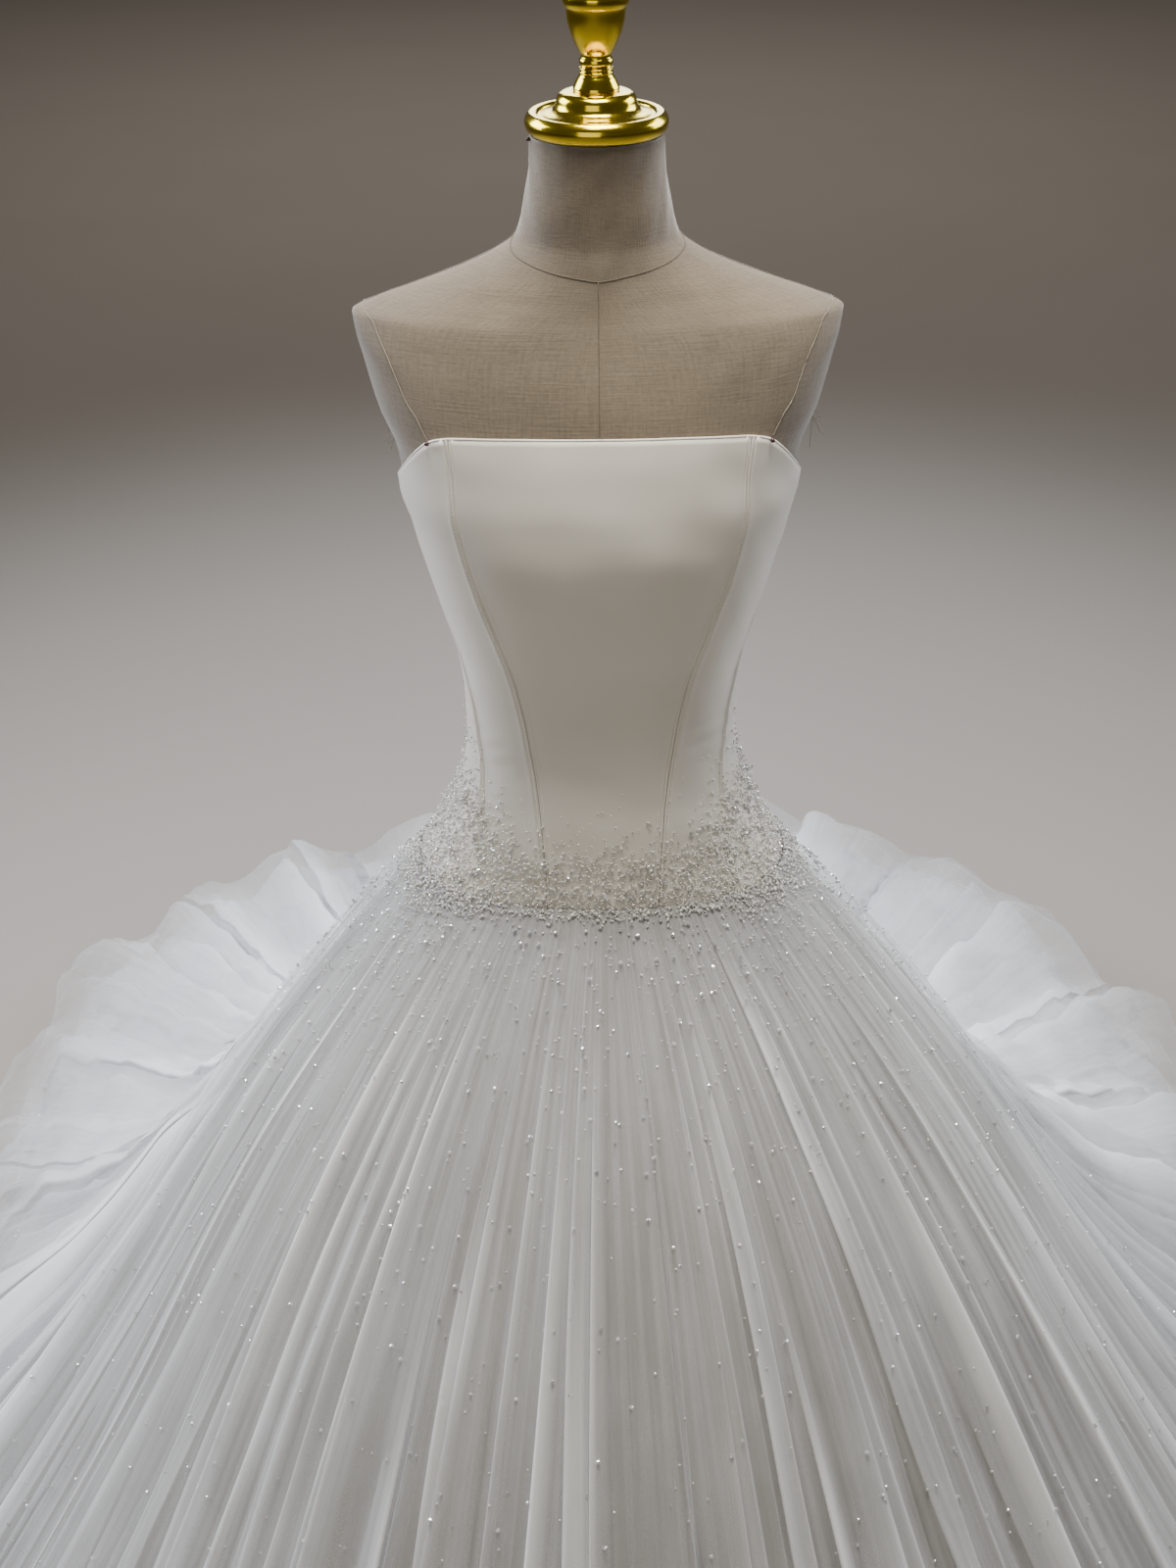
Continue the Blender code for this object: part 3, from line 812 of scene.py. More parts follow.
# Where frayed ends stick out beside each armhole, how many of them, and how far at most.
FRAYED = table("side low_z high_z count reach", (-1, 1.280, 1.290, 5, 0.010), (1, 1.287, 1.306, 11, 0.016))
FRAYED_RADIUS = 0.00022
TURNING_STEPS = 80


def form_heights():
    """Rows of the form, closest together over the slope of the shoulders."""
    low = np.linspace(FORM_LOW.z, SHOULDER_LOW_Z, 50, endpoint=False)
    shoulder = np.linspace(SHOULDER_LOW_Z, SHOULDER_HIGH_Z, 56, endpoint=False)
    neck = np.linspace(SHOULDER_HIGH_Z, FORM_HIGH.z, 18)
    return np.concatenate((low, shoulder, neck))


def form_skin(angle, z, lift=0.0):
    """Points of the linen cover with its slight unevenness, moved out by lift."""
    uneven = soft_noise(np.random.default_rng(SEED), 0.15 * np.sin(angle), z + 0.1 * np.cos(angle), 0.05)
    return body_points(angle, z, lift + COVER_UNEVENNESS * uneven)


def form_line(degrees, heights):
    """A seam line lying on the form through degrees from the front and heights."""
    at = np.linspace(0, len(degrees) - 1, 90)
    knots = np.arange(len(degrees))
    turn = np.radians(smooth_curve(knots, degrees, at))
    return form_skin(turn, smooth_curve(knots, heights, at), SEAM_LIFT)


def shoulder_line(side):
    """The seam along the top of one shoulder, from the neck to the tip."""
    z = np.concatenate((np.linspace(1.436, 1.378, 60), np.linspace(1.377, 1.368, 8)))
    return form_skin(np.full_like(z, side * math.radians(93)), z, SEAM_LIFT)


def armhole_line(side):
    """The seam where the arm is cut off, from the pin over the shoulder's tip and down the back."""
    return form_line(side * column(ARMHOLE, "degrees"), column(ARMHOLE, "z"))


def collar_line():
    """The seam round the base of the neck, lowest in front."""
    turn = np.linspace(0, TURN, 160)
    rise = np.abs(np.sin(turn / 2)) ** 1.6
    return form_skin(turn, COLLAR_FRONT_Z + (COLLAR_BACK_Z - COLLAR_FRONT_Z) * rise, SEAM_LIFT / 2)


class GOWN_OT_form(bpy.types.Operator):
    """Cover the dress form in linen with its seams and loose threads"""

    bl_idname = "gown.form"
    bl_label = "Dress form"

    def execute(self, context):
        angle = np.linspace(0, TURN, 168, endpoint=False)[None, :]
        points = form_skin(angle, form_heights()[:, None])
        mesh = grid_mesh("dress_form", points[::-1], wrap=True, caps=True)
        add_piece("dress_form", mesh, shared_material("linen"), ["form_torso"])
        front = form_line([0, 0], [SEAM_START_Z, COLLAR_FRONT_Z])
        back = form_line([180, 180], [SEAM_START_Z, COLLAR_BACK_Z])
        seams = [front, back, collar_line(), *(shoulder_line(side) for side in (-1, 1))]
        add_thread_line("form_seams", seams, SEAM_RADIUS, "seam")
        armholes = [armhole_line(side) for side in (-1, 1)]
        add_thread_line("form_edges", armholes, SEAM_RADIUS, "edging")
        add_thread_line("form_loose_threads", self.loose_threads(), FRAYED_RADIUS, "edging", 4)
        return {"FINISHED"}

    def loose_threads(self):
        """Short frayed ends that stick out beside the armholes and hang down."""
        rng = np.random.default_rng(SEED)
        t = np.linspace(0, 1, 7)[:, None]
        lines = []
        for place in FRAYED:
            for _ in range(place.count):
                turn = place.side * math.radians(rng.uniform(74, 88))
                start, normal = body_frame(turn, rng.uniform(place.low_z, place.high_z), 0.0)
                reach = rng.uniform(0.004, place.reach)
                away = unit(normal + 0.5 * rng.normal(size=3))
                lines.append(start + away * reach * t - UP * reach * 0.7 * t * t)
        return lines


def fine_profile(profile, steps=4):
    """More points on a turned profile, rounded through the ones given."""
    points = np.array(profile)
    chord = np.concatenate(([0.0], np.cumsum(np.linalg.norm(np.diff(points, axis=0), axis=1))))
    spans = [np.linspace(a, b, steps, endpoint=False) for a, b in zip(chord, chord[1:])]
    fine = np.concatenate([*spans, chord[-1:]])
    return np.stack([smooth_curve(chord, points[:, k], fine) for k in (0, 1)], 1)


def turned_piece(name, profile, bottom_z, node):
    """A brass piece turned about the vertical axis, with Blender's Screw modifier."""
    mesh = bpy.data.meshes.new(name)
    points = [(max(r, 0.0), 0.0, h + bottom_z) for r, h in fine_profile(profile)]
    mesh.from_pydata(points, [(k, k + 1) for k in range(len(points) - 1)], [])
    piece = add_piece(name, mesh, shared_material("brass"), [node])
    turn = piece.modifiers.new("Turn", "SCREW")
    turn.axis = "Z"
    turn.steps = turn.render_steps = TURNING_STEPS
    turn.use_merge_vertices = True
    turn.merge_threshold = 0.00005
    turn.use_smooth_shade = True


class GOWN_OT_cap(bpy.types.Operator):
    """Turn the polished neck cap and its finial"""

    bl_idname = "gown.cap"
    bl_label = "Cap and finial"

    def execute(self, context):
        turned_piece("brass_cap", CAP_PROFILE, CAP_LOW.z, "neck_cap")
        turned_piece("brass_finial", FINIAL_PROFILE, FINIAL_LOW.z, "finial")
        return {"FINISHED"}


class GOWN_OT_stand(bpy.types.Operator):
    """Give the stand under the skirt its steel"""

    bl_idname = "gown.stand"
    bl_label = "Stand"

    def execute(self, context):
        for node in ("stand_pole", "stand_base"):
            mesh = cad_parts[node].data
            mesh.materials.clear()
            mesh.materials.append(shared_material("steel"))
        return {"FINISHED"}


# Bodice

Panel = namedtuple("Panel", "name left right columns")
STITCH_TO_SEAM = 0.0028
STITCH_SINK = 0.0004
STITCH_WIDTH = 0.00036
STITCH_HEIGHT = 0.00030
STITCH_PITCH = 1.35
ROLLED_EDGE_RADIUS = 0.0011
STRAIN_Z = 1.035
STRAIN_REACH = 0.045
STRAIN_PITCH = 0.017
STRAIN_DEPTH = 0.0011
RIPPLE_DEPTH = 0.0005
RIPPLE_SIZE = 0.07
# Height of the cloth beside a seam: the seam itself, a boning channel's ridge, its stitched groove
# and the swell beyond it, each as a soft bump at a distance from the seam.
SEAM_RELIEF = table(
    "height distance width",
    (-0.0006, 0.0, 0.0005), (0.0005, 0.0014, 0.0007), (-0.0005, 0.0028, 0.00055), (0.0004, 0.0046, 0.0014),
)
# Distances from a seam at which a panel has columns, close enough for its stitched channel.
NEAR_SEAM = (
    0.00015, 0.0005, 0.0009, 0.0013, 0.0017, 0.0021, 0.0024,
    0.0027, 0.0030, 0.0034, 0.0039, 0.0046, 0.0058, 0.0075,
)


def edge_rule(which, side):
    """The angle of a panel's edge by height; the centre back is half way round."""
    if which == "centre_back":
        return lambda z: np.full_like(z, side * math.pi)
    return lambda z: side * seam_angle(which, z)


def bodice_panels():
    panels = [Panel("centre_front", edge_rule("princess", -1), edge_rule("princess", 1), 44)]
    for name, side in (("left", 1), ("right", -1)):
        princess, front = edge_rule("princess", side), edge_rule("side_front", side)
        back, centre = edge_rule("side_back", side), edge_rule("centre_back", side)
        panels.append(Panel(f"side_front_{name}", princess, front, 30))
        panels.append(Panel(f"side_{name}", front, back, 26))
        panels.append(Panel(f"back_{name}", back, centre, 30))
    return panels


def wrinkles(points, rng):
    """Creases of the cloth: strain lines across the waist at the side fronts and a soft ripple."""
    x, y, z = points[..., 0], points[..., 1], points[..., 2]
    waist = np.exp(-(((z - STRAIN_Z) / STRAIN_REACH) ** 2))
    waist = waist * smooth_step(0.045, 0.085, np.abs(x)) * (y < 0.02)
    lean = z + 0.25 * np.abs(x)
    strain = np.sin(TURN * lean / STRAIN_PITCH + 3 * np.sin(x * 40)) * (0.5 + 0.5 * np.sin(z * 90 + x * 30))
    ripple = soft_noise(rng, x + y, z, RIPPLE_SIZE)
    return STRAIN_DEPTH * waist * strain * np.where(x > 0, 0.7, 0.4) + RIPPLE_DEPTH * ripple


def seam_relief(distance):
    return sum(r.height * np.exp(-(((distance - r.distance) / r.width) ** 2)) for r in SEAM_RELIEF)


def panel_shares(panel, rows):
    """Columns of a panel as shares from its left to its right seam, for each row."""
    middle = float((panel.left(np.array([1.25])) + panel.right(np.array([1.25])))[0] / 2)
    z = np.linspace(float(neckline_z(middle)), WAIST_SEAM_Z, rows + 1)[:, None]
    fine = np.linspace(0, 1, 41)[None, :]
    points = body_points(panel.left(z) * (1 - fine) + panel.right(z) * fine, z, BODICE_EASE)
    width = np.linalg.norm(np.diff(points, axis=1), axis=2).sum(1)[:, None]
    near = np.array(NEAR_SEAM)[None, :] / width
    inside = np.linspace(0, 1, panel.columns + 2)[None, 1:-1]
    last = near[:, -1:]
    return np.concatenate((near, last + (1 - 2 * last) * inside, 1 - near[:, ::-1]), 1), width


def panel_grid(panel, rng, rows=82):
    share, width = panel_shares(panel, rows)
    top = np.full_like(share, NECKLINE_SIDE_Z)
    for _ in range(6):
        top = neckline_z(panel.left(top) * (1 - share) + panel.right(top) * share)
    down = np.linspace(0, 1, rows + 1)[:, None]
    z = top + (WAIST_SEAM_Z - top) * down
    angle = panel.left(z) * (1 - share) + panel.right(z) * share
    to_seam = np.minimum(share, 1 - share) * width
    creases = wrinkles(body_points(angle, z, BODICE_EASE), rng)
    lift = BODICE_EASE + seam_relief(to_seam)
    lift = lift + creases * (1 - np.exp(-to_seam / 0.006)) * smooth_step(0, 0.02, top - z)
    return body_points(angle, z, lift)


def stitch_row(rule, side_step, z_top, z_low):
    """Places and frames of the stitches in the groove on one side of a seam."""
    z = np.arange(z_low, z_top, sizes().stitch_length * STITCH_PITCH)
    point, normal = body_frame(rule(z), z, BODICE_EASE)
    along = unit(body_points(rule(z + 0.001), z + 0.001, BODICE_EASE) - point)
    aside = unit(np.cross(normal, along)) * side_step
    place = point + aside * STITCH_TO_SEAM - normal * STITCH_SINK
    return place, np.stack((aside, normal, along), 1)


class GOWN_OT_bodice(bpy.types.Operator):
    """Cut and sew the seven satin panels of the bodice, with topstitching and a rolled top edge"""

    bl_idname = "gown.bodice"
    bl_label = "Bodice"

    def execute(self, context):
        rng = np.random.default_rng(SEED + 1)
        satin = shared_material("satin")
        for panel in bodice_panels():
            points = panel_grid(panel, rng)
            if panel.right(np.array([1.0]))[0] < panel.left(np.array([1.0]))[0]:
                points = points[:, ::-1]
            name = f"satin_{panel.name}"
            piece = add_piece(name, grid_mesh(name, points), satin, [f"bodice_{panel.name}"])
            wall = piece.modifiers.new("Wall", "SOLIDIFY")
            wall.thickness = BODICE_WALL
            wall.offset = -1.0
            wall.use_even_offset = False
        self.rolled_edge()
        self.topstitching()
        return {"FINISHED"}

    def rolled_edge(self):
        """The folded top edge, as a narrow roll all round."""
        angle = np.linspace(0, TURN, 421)
        line = body_points(angle, neckline_z(angle) - 0.0003, BODICE_EASE - 0.0008)
        add_thread_line("satin_rolled_edge", [line], ROLLED_EDGE_RADIUS, "satin", 8)

    def topstitching(self):
        """A row of stitches on each side of every seam."""
        places, axes = [], []
        seams = [(which, side) for which in ("princess", "side_back", "side_front") for side in (-1, 1)]
        for which, side in [*seams, ("centre_back", 1)]:
            rule = edge_rule(which, side)
            top = float(neckline_z(rule(np.array([NECKLINE_SIDE_Z])))[0]) - 0.003
            for step in (-1, 1):
                place, axis = stitch_row(rule, step, top, WAIST_SEAM_Z + 0.002)
                places.append(place)
                axes.append(axis)
        places, axes = np.concatenate(places), np.concatenate(axes)
        scales = np.tile((STITCH_WIDTH, STITCH_HEIGHT, sizes().stitch_length / 2), (len(places), 1))
        add_scatter("bodice_topstitching", bead_shape(), places, axes, scales, "thread")


# Skirt and train

# A layer has a number of folds, lies off the smooth skirt by its lift, folds as deep as its depth says,
# spans some rings and pleats, and moves its hem outwards and upwards where it lies in the train.
Layer = namedtuple("Layer", "name folds seed lift depth first last start_pleat pleats hem_shift lift_more")
# The sheer layers: folds beyond the setting's number, and pleats by which their sides start further in.
TRAIN_LAYERS = table(
    "name more_folds inset lift depth first hem_shift lift_more",
    ("train_layer_low", 0, 0.8, 0.008, 0.9, 3.0, -0.14, 0.05),
    ("train_layer_mid", 6, 0.0, 0.014, 1.0, 3.4, -0.055, 0.045),
    ("train_layer_top", -6, 0.4, 0.020, 1.1, 3.8, 0.03, 0.04),
)
TRAIN_SIDES = (92, 268)
# Folds differ in width and height, lean one way or the other, begin at one of a few rings and wander.
FOLD_WIDTH_SPREAD = 0.42
FOLD_WIDTH_LIMITS = (0.4, 2.3)
FOLD_HEIGHTS = (0.25, 1.3)
FOLD_BEGINNINGS = (0.0, 0.3, 0.9, 1.8, 3.0)
FOLD_WANDER = 0.14
LEANING_SHARE = 0.75
NET_FOLD_SHARE = 0.8
GORES = ("front", "front_left", "side_left", "back_left", "train", "back_right", "side_right", "front_right")
NET_CRUMPLE = 0.0020
HEM_RAGGEDNESS = 0.026
TUCK_DEPTH = 0.0085
WAIST_SINK = 0.0016
WAIST_RISE = 0.006
LOWEST_NET_Z = 0.0012
# Creases where the net lies loose on the train.
LOOSE_CREASES = table("height size", (0.008, 0.11), (0.003, 0.045))


def ragged(rng, pleat, pitch):
    """Uneven peaks and dips along a cut edge, between -1 and 1, at about the pitch given in pleats."""
    steps = rng.uniform(0.35, 1.65, int(1.6 * PLEATS / pitch)) * pitch
    knots = np.concatenate(([-8.0], np.cumsum(steps) - 8.0))
    values = rng.uniform(0.3, 1.0, len(knots)) * np.where(np.arange(len(knots)) % 2, 1.0, -1.0)
    return np.interp(pleat, knots, values)


def creased(rng, x, y, size, waves=7):
    """Flat facets that meet at sharp creases, about -1 to 1, with facets of about the given size."""
    total = np.zeros(np.broadcast(x, y).shape)
    for _ in range(waves):
        way = rng.uniform(0, TURN)
        pitch = size * rng.uniform(0.7, 2.2)
        across = x * math.sin(way) - y * math.cos(way)
        bend = 0.35 * np.sin(TURN * across / (2.3 * pitch) + rng.uniform(0, 6))
        place = (x * math.cos(way) + y * math.sin(way)) / pitch + bend + rng.random()
        total += 4 * np.abs(place - np.floor(place + 0.5)) - 1
    return total / math.sqrt(waves)


def tucked_under(layer, pleat, ring):
    """1 where a train layer's top and side edges lie under the skirt's outer layer, 0 where it is free."""
    if layer.pleats >= PLEATS:
        return np.zeros_like(pleat)
    from_side = np.minimum(pleat - layer.start_pleat, layer.start_pleat + layer.pleats - pleat)
    return 1 - smooth_step(0.2, 3.4, from_side) * smooth_step(layer.first, layer.first + 1.1, ring)


def layer_folds(layer, rng, ring):
    """Where each column of a layer lies in pleats, how high its fold stands there, and how wide it is."""
    wide = np.clip(rng.lognormal(0.0, FOLD_WIDTH_SPREAD, layer.folds), *FOLD_WIDTH_LIMITS)
    edges = np.concatenate(([0.0], np.cumsum(wide)))
    edges *= layer.pleats / edges[-1]
    width = np.diff(edges)
    centre = angle_at(layer.start_pleat + edges[:-1] + width / 2) % TURN
    lean = ((centre < math.pi) == (rng.random(layer.folds) < LEANING_SHARE))[:, None]
    along, height = column(LEANING_FOLD, "along"), column(LEANING_FOLD, "height")
    along, height = np.where(lean, along, 1 - along[::-1]), np.where(lean, height, height[::-1])
    tall = rng.uniform(*FOLD_HEIGHTS, layer.folds)
    begins = rng.choice(FOLD_BEGINNINGS, layer.folds)
    grows = 0.15 + 0.85 * smooth_step(begins, begins + 2.2, ring)
    phase = rng.uniform(0, TURN, (3, layer.folds))
    swell = 0.8 + 0.35 * np.sin(ring * 0.9 + phase[0]) * np.sin(ring * 0.37 + phase[1])
    drift = FOLD_WANDER * np.sin(ring * 0.7 + phase[2]) * ring / HEM_RING
    place = (edges[:-1, None] + width[:, None] * along)[None] + (drift * width)[:, :, None]
    pleat = (layer.start_pleat + place).reshape(len(ring), -1)
    rise = ((tall * grows * swell)[:, :, None] * height[None]).reshape(len(ring), -1)
    share = np.clip(width / (layer.pleats / layer.folds), 0.5, 1.4)
    return pleat, rise, np.repeat(share, len(LEANING_FOLD))


def layer_grid(layer, rows):
    """Points of one gathered tulle layer, and how ridge-like each is."""
    rng = np.random.default_rng(layer.seed)
    ring = np.linspace(layer.first, layer.last, rows)[:, None]
    pleat, rise, wide_share = layer_folds(layer, rng, ring)
    angle = angle_at(pleat)
    point, normal = skirt_frame(angle, np.minimum(ring, HEM_RING))
    share = np.maximum(train_share(angle), 0.0)
    loose_low = smooth_step(HEM_RING - 4.0, HEM_RING - 1.0, ring) * smooth_step(0.05, 0.3, share)
    crumple = NET_CRUMPLE * soft_noise(rng, pleat * 0.07, ring * 0.025, 0.07) * smooth_step(0.5, 3.0, ring)
    for crease in LOOSE_CREASES:
        facets = creased(rng, point[..., 0], point[..., 1], crease.size)
        crumple = crumple + crease.height * loose_low * facets
    tuck = 1 - smooth_step(0.0, 0.35, ring)
    under = tucked_under(layer, pleat, ring)
    fold = NET_FOLD_SHARE * ring_value("tulle_fold", ring) * layer.depth * sizes().fold_depth
    out = layer.lift * smooth_step(0.0, 1.5, ring) + fold * wide_share * rise * (1 - 0.7 * tuck) + crumple
    out = (out - WAIST_SINK * tuck) * (1 - under) - TUCK_DEPTH * under
    point = point + normal * (out * (1 + 0.35 * share))[..., None]
    near_hem = smooth_step(HEM_RING - 2.2, HEM_RING, ring) * (1 - under)
    way = np.stack((np.sin(angle), -np.cos(angle)), -1)
    peaks = 0.75 * ragged(rng, pleat, 1.0) + 0.25 * ragged(rng, pleat, 0.35)
    waves = ragged(rng, pleat, 1.2)
    loose = smooth_step(0.0, 0.25, share)
    reach = layer.hem_shift * loose + HEM_RAGGEDNESS * peaks * np.sqrt(share)
    point[..., :2] += way * (near_hem * reach)[..., None]
    point[..., 2] += near_hem * loose * layer.lift_more * (0.5 + 0.5 * waves)
    point[..., 2] = np.maximum(point[..., 2] + WAIST_RISE * tuck, LOWEST_NET_Z)
    inward = 1 - smooth_step(HEM_RING - 2.4, HEM_RING - 0.3, ring)
    hem = smooth_step(HEM_RING - 0.06, HEM_RING, ring)
    # The ridge value sets the net's density and its painted highlight, raised over the loose train and at its
    # hem.
    return point, np.clip(rise, 0, 1.2) * (1 - 0.7 * loose_low) + loose_low * (0.75 * inward + 0.5 * hem)


def add_tulle(layer, rows, material, replaces=()):
    """Makes one layer of net as a piece, hiding the solids it replaces."""
    points, rise = layer_grid(layer, rows)
    wrap = layer.pleats >= PLEATS
    mesh = grid_mesh(layer.name, points, wrap=wrap, ridge=rise)
    piece = add_piece(layer.name, mesh, material, replaces)


class GOWN_OT_skirt(bpy.types.Operator):
    """Gather the underskirt and the two tulle layers over it at the waist seam"""

    bl_idname = "gown.skirt"
    bl_label = "Skirt"

    def execute(self, context):
        inner, outer = sizes().inner_folds, sizes().outer_folds
        # The underskirt is a dark sheet: painted shade of the depth between the net layers.
        under = Layer("underskirt", 72, SEED + 2, -0.011, 0.8, 0.0, 7.9, 0.0, PLEATS, -0.10, 0.0)
        gores = [f"skirt_{gore}" for gore in GORES]
        add_tulle(under, 38, shared_material("underskirt"), gores)
        net = Layer("tulle_inner", inner, SEED + 3, -0.005, 0.9, 0.0, HEM_RING, 0.3, PLEATS, -0.08, 0.02)
        add_tulle(net, 52, tulle_material("inner_tulle", 0.26, 0.40, 0.7))
        net = Layer("tulle_outer", outer, SEED + 4, 0.001, 1.0, 0.0, HEM_RING, 0.0, PLEATS, 0.0, 0.03)
        add_tulle(net, 66, tulle_material("outer_tulle", 0.20, 0.46, 0.55))
        return {"FINISHED"}


class GOWN_OT_train(bpy.types.Operator):
    """Lay the sheer layers of the train, each with its own ruffled edge"""

    bl_idname = "gown.train"
    bl_label = "Train"

    def execute(self, context):
        start, end = (float(pleat_at(np.array(math.radians(degrees)))) for degrees in TRAIN_SIDES)
        sheer = tulle_material("sheer_tulle", 0.15, 0.95, 0.25)
        for seed, row in enumerate(TRAIN_LAYERS, SEED + 5):
            folds = sizes().train_folds + row.more_folds
            span = row.first, HEM_RING, start + row.inset, end - start - 2 * row.inset
            layer = Layer(row.name, folds, seed, row.lift, row.depth, *span, row.hem_shift, row.lift_more)
            add_tulle(layer, 72, sheer)
        return {"FINISHED"}


# Beads

LARGE_BEAD_SHARE, LARGE_BEAD_SIZE = 0.10, 1.55
PILED_BEAD_SHARE, PILED_BEAD_RISE = 0.05, 2.0
BEAD_FLATNESS = 0.85
BAND_TOP_Z = 0.938
BAND_SIDE_RISE = 0.044
PIN_SHAFT_RADIUS = 0.0004
NECK_PIN_DEGREES, NECK_PIN_Z, NECK_PIN_RADIUS = -80, 1.5052, 0.0017


def band_top(points):
    """Height where the dense beading on the bodice ends: higher at the sides than in front."""
    return BAND_TOP_Z + BAND_SIDE_RISE * smooth_step(0.06, 0.135, np.abs(points[:, 0]))


def bodice_bead_weight(points):
    above = points[:, 2] - band_top(points)
    side = smooth_step(0.05, 0.12, np.abs(points[:, 0]))
    low = 0.30 * smooth_step(0.905, 0.95, points[:, 2])
    return np.where(above < 0, 1.0 - low, (1.0 - low) * np.exp(-above / (0.011 + 0.005 * side)))


def skirt_bead_weight(points):
    below = WAIST_SEAM_Z - points[:, 2]
    side = smooth_step(0.08, 0.16, np.abs(points[:, 0]))
    dense = np.exp(-((below / (0.003 + 0.012 * side)) ** 2))
    return dense + (0.05 + 0.16 * side) * np.exp(-below / 0.03) + 0.02 * np.exp(-below / 0.12)


def crystal_weight(points):
    below = WAIST_SEAM_Z - points[:, 2]
    return 0.65 * np.exp(-below / 0.05) + 0.24 * np.exp(-below / 0.45)


class GOWN_OT_beads(bpy.types.Operator):
    """Sew seed beads over the waist seam and scatter crystals down the tulle"""

    bl_idname = "gown.beads"
    bl_label = "Beads and crystals"

    def execute(self, context):
        rng = np.random.default_rng(SEED + 8)
        panels = [bpy.data.objects[f"satin_{panel.name}"] for panel in bodice_panels()]
        outer = bpy.data.objects["tulle_outer"]
        above = surface_samples(panels, bodice_bead_weight, sizes().beads_on_bodice, rng)
        self.sew("beads_bodice", *above, rng)
        below = surface_samples([outer], skirt_bead_weight, sizes().beads_on_skirt, rng)
        self.sew("beads_skirt", *below, rng)
        self.stones(panels, outer, rng)
        return {"FINISHED"}

    def sew(self, name, place, normal, rng):
        """Beads of uneven size, some larger and some piled on the others."""
        large = rng.random(len(place)) < LARGE_BEAD_SHARE
        size = sizes().seed_bead * rng.uniform(0.75, 1.15, len(place)) * np.where(large, LARGE_BEAD_SIZE, 1.0)
        pile = rng.uniform(0.4, 1.6, len(place))
        pile = pile + PILED_BEAD_RISE * (rng.random(len(place)) < PILED_BEAD_SHARE)
        scales = np.stack((size, size, size * BEAD_FLATNESS), 1)
        where = place + normal * (size * pile)[:, None]
        tones = rng.random(len(place))
        axes = random_axes(normal, rng)
        add_scatter(name, bead_shape(), where, axes, scales, "beads", tones=tones)

    def stones(self, panels, outer, rng):
        count = sizes().crystals_on_skirt
        below = surface_samples([outer], crystal_weight, count, rng)
        above = surface_samples(panels, bodice_bead_weight, count // 6, rng)
        place, normal = (np.concatenate(pair) for pair in zip(below, above))
        size = sizes().crystal * rng.uniform(0.65, 1.2, len(place))
        scales = np.stack((size, size, size), 1)
        where = place + normal * (size * 0.9)[:, None]
        axes = random_axes(unit(normal + 0.25 * rng.normal(size=normal.shape)), rng)
        tones = rng.random(len(place))
        add_scatter("crystals", crystal_shape(), where, axes, scales, "crystal", False, tones)


class GOWN_OT_pins(bpy.types.Operator):
    """Push in the round-headed pins at the top corners and the neck"""

    bl_idname = "gown.pins"
    bl_label = "Pins"

    def execute(self, context):
        for side in ("left", "right"):
            low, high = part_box(f"pin_{side}")
            self.pin(f"pin_head_{side}", (low + high) / 2, (high.z - low.z) / 2, [f"pin_{side}"])
        neck = Vector(body_points(math.radians(NECK_PIN_DEGREES), NECK_PIN_Z, 0.0012))
        self.pin("pin_head_neck", neck, NECK_PIN_RADIUS, [])
        return {"FINISHED"}

    def pin(self, name, place, radius, replaces):
        """A round head with a short neck running into the cloth."""
        builder = bmesh.new()
        bmesh.ops.create_uvsphere(builder, u_segments=24, v_segments=14, radius=radius)
        inward = Vector((-place.x, -place.y, 0)).normalized()
        turn = inward.to_track_quat("Z", "Y").to_matrix().to_4x4()
        shaft = Matrix.Translation(inward * radius * 1.3) @ turn
        thin = PIN_SHAFT_RADIUS
        bmesh.ops.create_cone(
            builder, cap_ends=True, segments=12, radius1=thin, radius2=thin, depth=radius * 1.4, matrix=shaft
        )
        bmesh.ops.translate(builder, verts=builder.verts, vec=place)
        mesh = bpy.data.meshes.new(name)
        builder.to_mesh(mesh)
        builder.free()
        mesh.shade_smooth()
        add_piece(name, mesh, shared_material("pin"), replaces)


# Stage

FLOOR_REACH = 14.0
SKY_COLOUR = (1.0, 0.96, 0.91, 1.0)
SKY_STRENGTH = 0.07
# Square soft lights: sizes in metres, power in watts, spread in degrees.
LIGHTS = table(
    "name place target size power colour spread",
    ("top_light", (0.05, -0.20, 2.9), (0.0, -0.08, 1.2), 0.8, 10.5, (1.0, 0.95, 0.87), 70),
    ("left_light", (-2.7, 1.2, 2.3), (0.0, 0.2, 0.7), 1.8, 70, (0.84, 0.89, 1.0), 120),
    ("right_light", (2.7, 1.4, 2.2), (0.0, 0.2, 0.7), 1.8, 42, (0.87, 0.91, 1.0), 120),
    ("front_light", (-0.8, -3.8, 1.9), (0.0, 0.0, 0.9), 2.4, 25, (1.0, 0.94, 0.84), 180),
    ("train_light", (0.0, 3.0, 2.4), (0.0, 0.9, 0.2), 1.8, 34, (0.84, 0.89, 1.0), 120),
    ("far_light", (0.0, 6.5, 4.0), (0.0, 6.5, 0.0), 5.0, 70, (1.0, 0.95, 0.90), 150),
)


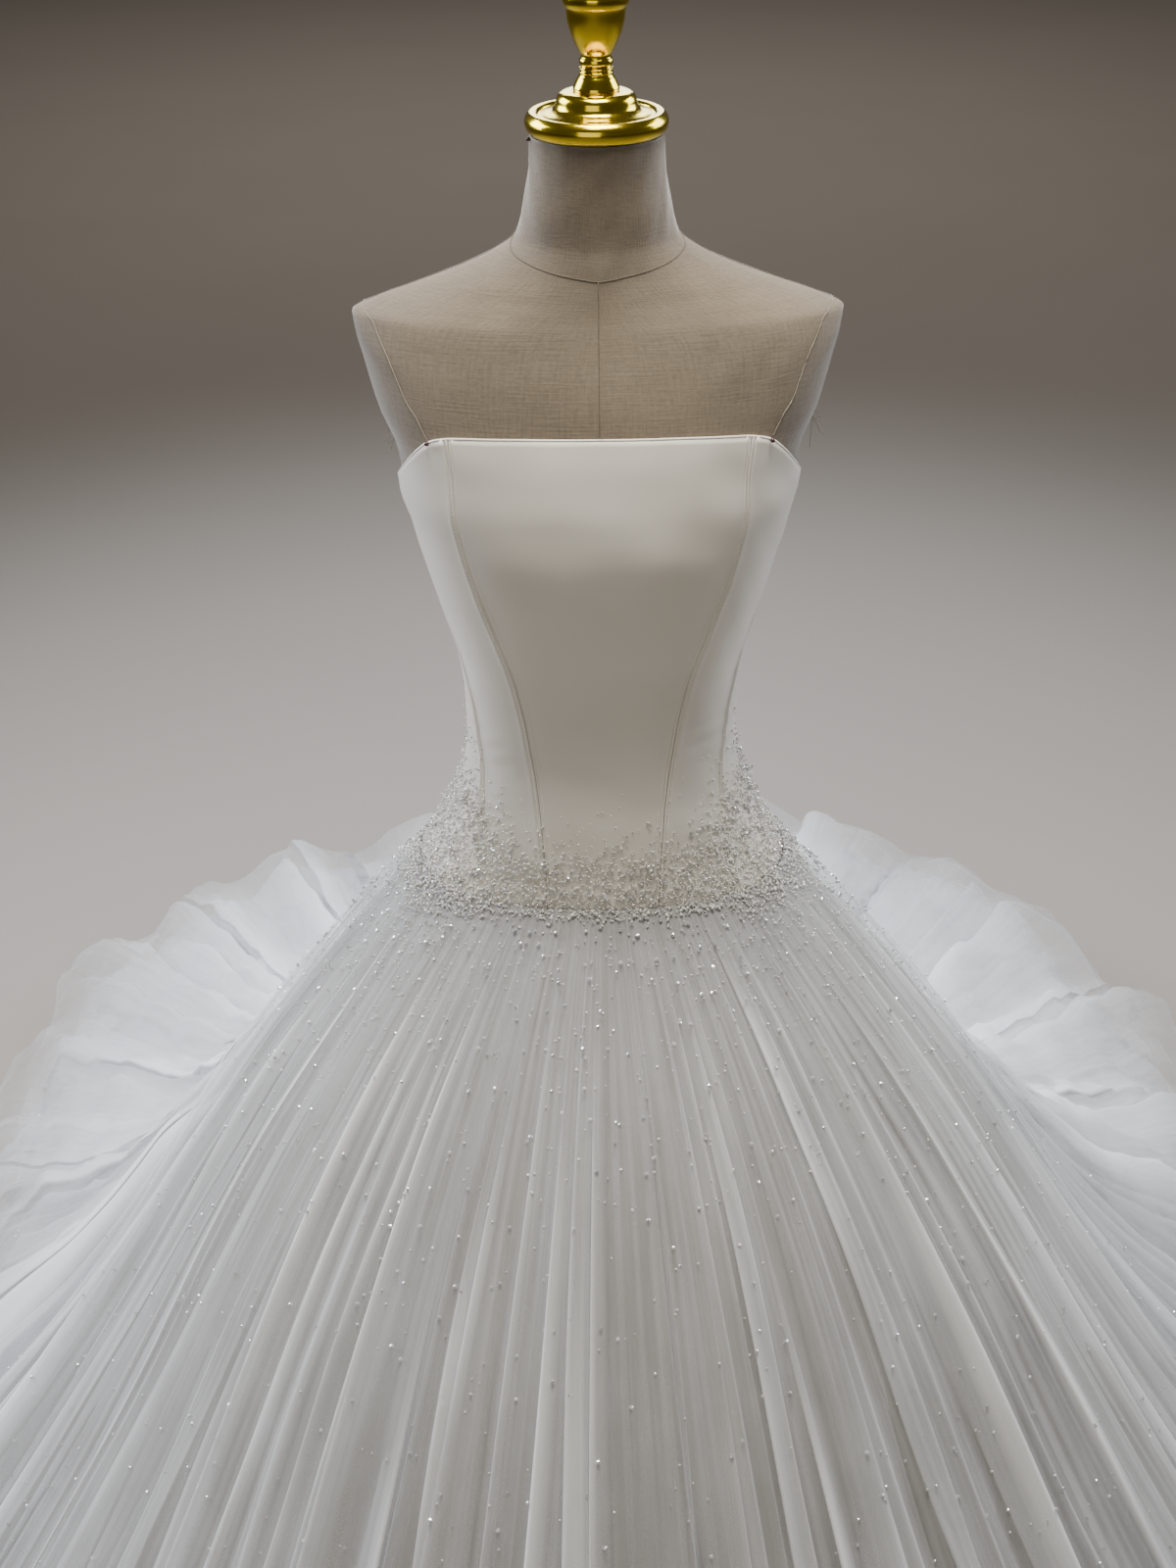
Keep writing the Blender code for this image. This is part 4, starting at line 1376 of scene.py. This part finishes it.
class GOWN_OT_stage(bpy.types.Operator):
    """Set the plain floor, the soft lights and the camera"""

    bl_idname = "gown.stage"
    bl_label = "Floor, lights and camera"

    def execute(self, context):
        self.floor()
        self.lights()
        self.camera()
        return {"FINISHED"}

    def floor(self):
        corners = [(x * FLOOR_REACH, y * FLOOR_REACH, 0) for x, y in ((-1, -1), (1, -1), (1, 1), (-1, 1))]
        mesh = new_mesh("studio_floor", corners, [(0, 1, 2, 3)], smooth=False)
        material = new_material("studio_floor", "floor", 0.75)
        vary_colour(material, noise(material, object_place(material), 1.5), 0.96, 1.04)
        mesh.materials.append(material)
        new_object("studio_floor", mesh)

    def lights(self):
        world = bpy.data.worlds.new("studio")
        bpy.context.scene.world = world
        world.use_nodes = True
        sky = world.node_tree.nodes["Background"].inputs
        sky["Color"].default_value = SKY_COLOUR
        sky["Strength"].default_value = SKY_STRENGTH
        for light in LIGHTS:
            self.softbox(light)

    def softbox(self, light):
        lamp = bpy.data.lights.new(light.name, "AREA")
        lamp.shape = "SQUARE"
        lamp.size = light.size
        lamp.energy = light.power
        lamp.color = light.colour
        lamp.spread = math.radians(light.spread)
        holder = new_object(light.name, lamp)
        holder.location = light.place
        aim = Vector(light.target) - Vector(light.place)
        holder.rotation_euler = aim.to_track_quat("-Z", "Y").to_euler()

    def camera(self):
        lens = bpy.data.cameras.new("photo_camera")
        lens.lens = CAMERA_LENS_MM
        lens.sensor_width = 36.0
        lens.clip_start = 0.05
        camera = new_object("photo_camera", lens)
        turn = Matrix.Rotation(math.pi / 2 - CAMERA_TILT_DOWN, 4, "X") @ Matrix.Rotation(CAMERA_ROLL, 4, "Z")
        camera.matrix_world = Matrix.Translation(CAMERA_PLACE) @ turn
        bpy.context.scene.camera = camera


class GOWN_PT_panel(bpy.types.Panel):
    """Lists the gown's pieces in the order they are made"""

    bl_idname = "GOWN_PT_panel"
    bl_label = "Ball gown"
    bl_space_type = "VIEW_3D"
    bl_region_type = "UI"
    bl_category = "Gown"

    def draw(self, context):
        for group in (context.scene.gown_sizes, context.scene.gown_colours):
            box = self.layout.box()
            for name in group.__annotations__:
                box.prop(group, name)
        for operator in OPERATORS:
            self.layout.operator(operator.bl_idname)


OPERATORS = (
    GOWN_OT_form,
    GOWN_OT_cap,
    GOWN_OT_stand,
    GOWN_OT_bodice,
    GOWN_OT_skirt,
    GOWN_OT_train,
    GOWN_OT_beads,
    GOWN_OT_pins,
    GOWN_OT_stage,
)
CLASSES = (GownSizes, GownColours, *OPERATORS, GOWN_PT_panel)


def register():
    for each in CLASSES:
        bpy.utils.register_class(each)
    bpy.types.Scene.gown_sizes = bpy.props.PointerProperty(type=GownSizes)
    bpy.types.Scene.gown_colours = bpy.props.PointerProperty(type=GownColours)


def unregister():
    del bpy.types.Scene.gown_colours
    del bpy.types.Scene.gown_sizes
    for each in reversed(CLASSES):
        bpy.utils.unregister_class(each)


def main():
    register()
    bpy.ops.gown.form()
    bpy.ops.gown.cap()
    bpy.ops.gown.stand()
    bpy.ops.gown.bodice()
    bpy.ops.gown.skirt()
    bpy.ops.gown.train()
    bpy.ops.gown.beads()
    bpy.ops.gown.pins()
    bpy.ops.gown.stage()


if __name__ == "__main__":
    main()
